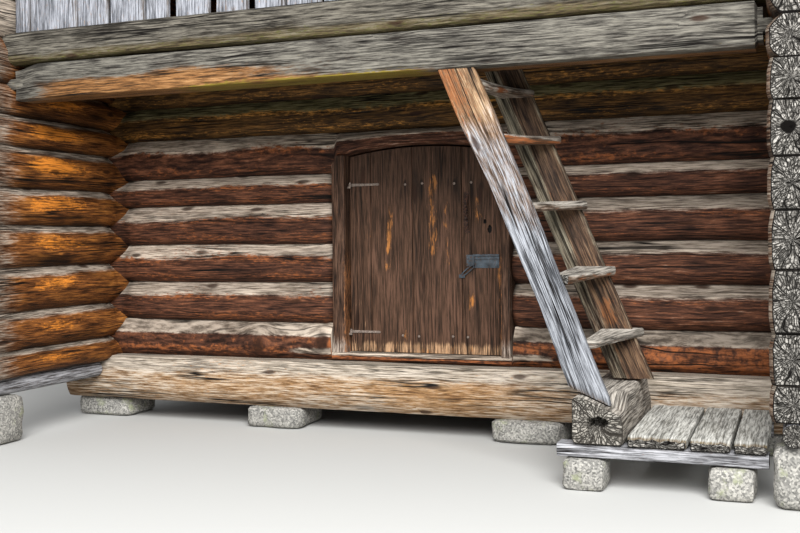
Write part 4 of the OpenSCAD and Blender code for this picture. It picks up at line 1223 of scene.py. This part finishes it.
def near_put(a, p, q):
    """The foot is cut to a slope that falls to the right, and so are the sections above it."""
    z = a - foot_fall * (p + near_wide / 2) * step(0.95, 0.55, a)
    return Vector((near_left(z) + near_wide / 2 + p, (near_low.y + near_high.y) / 2 + q, z))


def near_paint(a, j, p, q):
    new = step(1.68, 2.02, a + 0.12 * lump(p * 14, a * 1.5))
    low = step(1.42, 1.10, a + 0.12 * lump(p * 12, a * 2))
    streak = max(0.0, lump(a * 2.2, p * 30, 7))
    left = step(0.05, -0.07, p)
    foot = step(0.56, 0.50, a)
    return 0.58 - 0.48 * new + 0.42 * low - 0.5 * foot, \
        0.05 + new * (0.28 + 0.42 * left) + 0.5 * streak * (1 - low), \
        0.10 + 0.14 * new + 0.30 * new * streak + 0.12 * low + 0.45 * foot


loft(work, spread(0.504, near_high.z, 0.025), near_outline, near_put, near_paint, 121.5, (0, 1), (0.95, 0.6))
piece("near_stringer_plank", work, [ladder_pine, grey_end], "stair_wood", "near_stringer")

work = new_mesh()


def far_outline(a):
    """The far plank is split, not sawn: a ridge runs down its face between two hewn facets."""
    t = far_high.y - far_low.y
    ridge = -0.03 + 0.02 * lump(a * 1.3, 5)
    pairs = []
    for p, q in rim(far_wide - 0.006, t - 0.004, 0.010, 20, 2):
        if q < 0:
            q += 0.020 * min(1.0, abs(p - ridge) / 0.09) ** 1.2 + 0.003 * lump(a * 1.5, p * 30, 3)
            split = 0.012 * math.exp(-((p - ridge + 0.028) / 0.007) ** 2)
            q += split + 0.004 * lump(a * 7, p * 50, 9) * (q < 0)
        pairs.append((p + 0.005 * lump(a * 2.5, p > 0, 31), q))
    return pairs


def far_paint(a, j, p, q):
    right = step(-0.035, -0.02, p)
    patch = step(0.73, 0.78, a) * step(0.95, 0.84, a) * step(-0.03, 0.0, p) * step(0.07, 0.03, p)
    rust = max(0.0, lump(a * 4.5, p * 11, 21))
    # the split down the face is darkened as painted shade inside it
    split_shade = math.exp(-((p + 0.058 - 0.02 * lump(a * 1.3, 5)) / 0.010) ** 2)
    return 0.55 - 0.45 * right + 0.25 * lump(a * 2, p * 9) + 0.3 * step(0.085, 0.10, p), \
        0.08 + 0.12 * right + 0.3 * rust + 0.55 * patch, \
        0.12 + 0.6 * split_shade + 0.3 * max(0.0, lump(a * 3, p * 20, 6)) + 0.2 * step(1.0, 1.5, a) + 0.12 * right


def far_put(a, p, q):
    return Vector((far_left(a) + far_wide / 2 + p, (far_low.y + far_high.y) / 2 + q, a))


loft(work, spread(far_low.z, far_high.z, 0.03), far_outline, far_put, far_paint, 127.5, (0, 1), (0.95, 0.6))
piece("far_stringer_plank", work, [stair_pine, grey_end], "stair_wood", "far_stringer")

# Treads: flush with the near plank, past the edge of the far one, and 25 mm higher at the far end
work = new_mesh()
# For each tread from the lowest: how far it stands past the near plank and the far one, its
# thickness there, and how much higher its far end lies than its middle
reach = [(0.003, 0.017), (0.038, 0.042), (-0.008, 0.038), (-0.005, 0.048), (-0.002, 0.012)]
deep = [(0.042, 0.048), (0.052, 0.050), (0.046, 0.048), (0.056, 0.044), (0.060, 0.040)]
tilt = [0.010, 0.014, 0.012, 0.012, 0.0]
for n, (low, high) in enumerate(solids("stair_treads")):
    near_x = near_left(high.z) + near_wide + reach[n][0]
    far_x = far_left(high.z) + far_wide + reach[n][1]
    back_x = low.x + 0.03

    def front(a):
        """Front edge of the tread at a place between the planks, a little hollowed by feet."""
        t = (a - near_low.y - 0.05) / (far_low.y - near_low.y - 0.05)
        rubbed = 0.010 * math.sin(math.pi * min(1.0, max(0.0, t)))
        chip = 0.055 * step(near_low.y + 0.115, near_low.y + 0.06, a) * (n == 0)
        return near_x + (far_x - near_x) * t - rubbed - chip + 0.004 * lump(a * 9, n * 3.3)

    def tread_outline(a):
        t = min(1.0, max(0.0, (a - near_low.y) / (far_low.y - near_low.y)))
        thick = deep[n][0] + (deep[n][1] - deep[n][0]) * t
        w = front(a) - back_x
        rise = tilt[n] * (2 * t - 1)
        pairs = []
        for p, q in rim(w, thick, 0.012, 9, 3):
            worn = 0.008 * math.sin(math.pi * t) * step(-0.2, 1.0, 2 * p / w) if q > 0 else 0
            split = 0.004 * lump(a * 5, q * 30, n) + 0.004 * lump(a * 16, q * 70, n) if p > 0.4 * w else 0
            pairs.append((back_x + w / 2 + p + split, high.z - thick / 2 + q + rise - worn))
        return pairs

    def tread_paint(a, j, p, q):
        top = step(high.z - 0.03, high.z - 0.012, q)
        face = step(front(a) - 0.03, front(a) - 0.008, p) * (1 - top)
        rust = max(0.0, lump(a * 9, q * 25, n * 2.2))
        grey = (0.85, 0.95, 0.7, 0.6, 0.7)[n] * top + (0.75, 0.35, 0.45, 0.2, 0.5)[n] * (1 - top)
        warm = 0.15 + face * (0.2 + 0.9 * rust * (n in (1, 3, 4)) + 0.4 * (n == 3))
        return grey, warm, 0.08 + 0.3 * face * rust

    loft(work, spread(low.y, high.y - 0.004, 0.02, [(near_low.y + 0.05, near_low.y + 0.12)], 0.01),
         tread_outline, laid("y"), tread_paint, n + 131.3, (0, 2), (0.93, 0.5))
piece("housed_treads", work, [rubbed_pine, grey_end], "stair_wood", "stair_treads")

# The block under the stair's foot, hewn from one thick log, its front cut down to a slope where the
# near plank stands. The front end has a rotten hollow
low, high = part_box("stair_block")
middle = (low + high) / 2
seat_x, seat_z = near_left(0.496), 0.493
work = new_mesh()


def block_outline(a):
    w, t = high.x - low.x, high.z - low.z
    pairs = []
    for p, q in rim(w - 0.01, t - 0.004, 0.02, 10, 6):
        lean = 0.035 * max(0.0, q / t + 0.15) * (1 if p > 0 else 0.25)
        rough = 0.003 * lump(a * 6, p * 12) * (q > 0)
        p = p * (1 - lean / w) - lean / 2 + 0.005 * lump(a * 3, q * 9)
        q += rough
        seat = seat_z - seat_fall * (middle.x + p - seat_x) - middle.z
        # right of the near plank the cut runs out in a long hollow
        run_out = 0.16 * step(seat_x + near_wide - 0.02, seat_x + near_wide + 0.03, middle.x + p)
        cut = step(near_high.y + 0.014 + run_out, near_high.y + 0.004, a)
        pairs.append((p, min(q, q + (seat - q) * cut)))
    return pairs


def block_paint(a, j, p, q):
    top = step(0.06, 0.09, q)
    side = step(0.09, 0.11, p) * (1 - top)
    return 0.3 * top + 0.7, 0.1 + 0.05 * side, 0.02 + 0.04 * side


loft(work, spread(low.y, high.y, 0.04, [(near_high.y + 0.002, near_high.y + 0.18)], 0.011), block_outline,
     laid("y", middle.x, middle.z), block_paint, 141, (0, 2),
     (0.95, 0.87, 0.79, 0.71, 0.63, 0.55, 0.47, 0.39, 0.31, 0.23, 0.15, 0.08))
rot = Vector((low.x + 0.132, low.y, 0.334))
rot_wide, rot_tall, rot_deep = 0.046, 0.026, 0.09
for v in work.verts:
    if v.co.y < low.y + 0.004:
        away = math.hypot((v.co.x - rot.x) / rot_wide, (v.co.z - rot.z) / rot_tall) \
            + 0.25 * lump(v.co.x * 30, v.co.z * 30)
        v.co.y += rot_deep * step(1.15, 0.85, away) + 0.008 * abs(lump(v.co.x * 22, v.co.z * 22))
# The block's end: paler than the logs' ends, and crumbling
rotten_end = end_grain("rotten_end_grain", "#a9a49b", "#7a756d", "#2d2a26")
piece("hewn_stair_block", work, [rubbed_pine, rotten_end], "stair_wood", "stair_block")

# Platform
# Split planks beside the stair's foot, hewn flat and laid on two bearers that lie on stones. Their
# front ends are rotting.

# Platform pine: split and hewn flat, gone an even light grey
flat_grey_pine = timber("flat_grey_pine", "#6a5a48", "#8f8170", "#b0a490", "#8b8981", "#cfcec7", "#8f7f62",
                        crack=0.5, relief=0.7, knotty=0.1)

boards("platform_bearer_logs", "platform_bearers", [silver_pine, grey_end], "weathered_log", "x", 151,
       lambda n, a, p, q: (0.9, 0.15, 0.1), 0.06, 0.014, 4, 3, 0.006, 0.005)

work = new_mesh()
for n, (low, high) in enumerate(solids("platform_planks")):
    def platform_outline(a):
        w, t = high.x - low.x, high.z - low.z
        end = max(0.0, 1 - (a - low.y) / 0.05)
        pairs = []
        for p, q in rim(w - 0.010, t - 0.004, 0.008, 14, 2):
            rot = end * (0.5 + 0.5 * lump(p * 30, n * 4)) if q > 0 else 0.0
            pairs.append((p * (1 - 0.04 * end) + 0.003 * lump(a * 3, n, p > 0), q - 0.026 * rot
                          + 0.0015 * lump(a * 5, p * 20, n) * (q > 0)))
        return pairs

    def platform_paint(a, j, p, q):
        rotten = step(0.05, 0.01, a - low.y)
        return 0.98 - 0.5 * rotten, 0.15 + 0.4 * rotten, 0.05 + 0.3 * step(0.05, 0.0, a - low.y)

    middle = (low + high) / 2
    loft(work, spread(low.y, high.y, 0.05, [(low.y, low.y + 0.06)], 0.01), platform_outline,
         laid("y", middle.x, middle.z), platform_paint, n + 161.7, (0, 2), (0.93, 0.5))
piece("hewn_platform_planks", work, [flat_grey_pine, grey_end], "weathered_log", "platform_planks")

# Roof
# Round pine purlins on the gables, two layers of boards down each slope, and boards nailed over
# the ridge and along the verges.

# Roof boards: pine gone a dull brown grey under the rain, darker towards the eaves
roof_pine = timber("roof_board_pine", "#4d4136", "#6f5f4e", "#8f7c66", "#77746f", "#a8a49c", "#8a6a48",
                   crack=0.8, rough=0.85)

work = new_mesh()
for n, (low, high) in enumerate(solids("ridge_purlin") + solids("side_purlins")):
    round_pole(work, "x", low, high, n + 171.5, lambda a, j, p, q: (0.75, 0.25, 0.15), 0.15, 20, 0.03)
piece("round_purlins", work, [side_pine, grey_end], "side_log", "ridge_purlin", "side_purlins")

roof_low, roof_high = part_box("front_roof")
roof_t = 0.0716
eave_run = -roof_low.y
for side, node in ((-1, "front_roof"), (1, "rear_roof")):
    work = new_mesh()
    for layer, (q0, q1) in enumerate(((0.0, 0.034), (0.036, roof_t))):
        x = roof_low.x
        n = 0
        while x < roof_high.x - 0.02:
            w = (0.19 + 0.03 * lump(n * 1.9, layer, side)) * (0.5 if layer and not n else 1.0)
            x1 = min(roof_high.x, x + w)
            if roof_high.x - x1 < 0.09:
                x1 = roof_high.x
            middle, half, short = (x + x1) / 2, (x1 - x) / 2 - 0.003, 0.012 * abs(lump(n * 5.1, layer))

            def slope_outline(a):
                return [(p, (q0 + q1) / 2 + q) for p, q in rim(2 * half, q1 - q0 - 0.001, 0.006, 3, 1)]

            def slope_place(a, p, q):
                return Vector((middle + p, side * a, roof_high.z - roof_t - slope * a + q))

            tone = lump(n * 2.9, layer * 7, side)
            loft(work, spread(0.002, eave_run - short, 0.33), slope_outline, slope_place,
                 lambda a, j, p, q: (0.8 + 0.15 * tone, 0.2 + 0.2 * tone, 0.12 + 0.15 * tone + 0.1 * a / 2.6),
                 n + 181.3 + 40 * layer, (0, 2), (0.5,))
            x = x1
            n += 1
    piece(node + "_boards", work, [roof_pine, grey_end], "roof_board", node)

work = new_mesh()
for side in (-1, 1):
    def ridge_place(a, p, q):
        y = 0.001 + p + 0.095
        return Vector((a, side * y, roof_high.z + 0.0160 - slope * y + q))

    loft(work, spread(roof_low.x, roof_high.x, 0.3), lambda a: rim(0.186, 0.028, 0.005, 4, 1), ridge_place,
         lambda a, j, p, q: (0.85, 0.2, 0.15), 201 + side, (1, 2), (0.5,))
piece("ridge_cover_boards", work, [roof_pine, grey_end], "roof_board", "ridge_boards")

work = new_mesh()
for n, (low, high) in enumerate(solids("verge_boards")):
    side = -1 if low.y < -0.5 else 1
    middle = (low.x + high.x) / 2
    reach = max(abs(low.y), abs(high.y))
    tall = high.z - low.z - slope * reach

    def verge_place(a, p, q):
        return Vector((middle + q, side * a, high.z - tall / 2 - slope * a + p))

    loft(work, spread(0.001, reach, 0.25), lambda a: rim(tall - 0.002, 0.026, 0.005, 4, 1), verge_place,
         lambda a, j, p, q: (0.8, 0.25, 0.2), 211 + n, (0, 2), (0.5,))
piece("verge_cover_boards", work, [roof_pine, grey_end], "roof_board", "verge_boards")

# Camera, light and floor
# The photograph's place: right of the middle, seven metres out, at the height of the chest, and
# leaning by half a degree. One broad soft lamp and a pale surround light it as an overcast sky does.

# The photograph's width and focal length in pixels, and how far its middle lies off the lens's axis
photo_width = 800
focal_px = 1032
rise_px = -28.3
camera = bpy.data.cameras.new("photo_view")
camera.sensor_width = 36
camera.lens = focal_px / photo_width * camera.sensor_width
camera.shift_y = rise_px / photo_width
seen = stand("photo_view", camera)
seen.location = (2.35, -7.335, 1.25)
turn = Matrix.Rotation(math.radians(21.2), 4, "Z") @ Matrix.Rotation(math.radians(90), 4, "X") \
    @ Matrix.Rotation(math.radians(-0.6), 4, "Z")
seen.rotation_euler = turn.to_euler()
bpy.context.scene.camera = seen


def seen_straight(add):
    """1 where the camera looks straight, or by a mirror or a pane, and 0 for the light that falls."""
    rays = add("LightPath").outputs
    view = add("Math", rays["Is Camera Ray"], rays["Is Glossy Ray"], operation="MAXIMUM")
    return add("Math", view, rays["Is Transmission Ray"], operation="MAXIMUM")


# Pale ground: the camera sees it bright, while it sends little light up on the timber
ground, add = blank("pale_floor")
tone = add("MixRGB", seen_straight(add), "#b9b9b5", "#b4b4b1")
add("OutputMaterial", add("BsdfPrincipled", Base_Color=tone, Roughness=0.9))
work = bmesh.new()
bmesh.ops.create_grid(work, x_segments=1, y_segments=1, size=40)
mesh = bpy.data.meshes.new("pale_floor")
work.to_mesh(mesh)
work.free()
mesh.materials.append(ground)
stand("pale_floor", mesh)

world = bpy.data.worlds.new("overcast")
bpy.context.scene.world = world
add = nodes_of(world)
soft = add("Background", Color="#f4f6fa", Strength=0.68)
wall = add("Background", Color="#f2f2f0", Strength=0.95)
add("OutputWorld", add("MixShader", seen_straight(add), soft, wall))

light = bpy.data.lights.new("sky_front", "AREA")
light.shape = "DISK"
light.size = 9
light.energy = 2950
sky = stand("sky_front", light)
sky.location = (3.5, -10.0, 7.5)
sky.rotation_euler = (Vector((0, -1, 1)) - sky.location).to_track_quat("-Z", "Y").to_euler()

bpy.context.scene.view_settings.view_transform = "Standard"
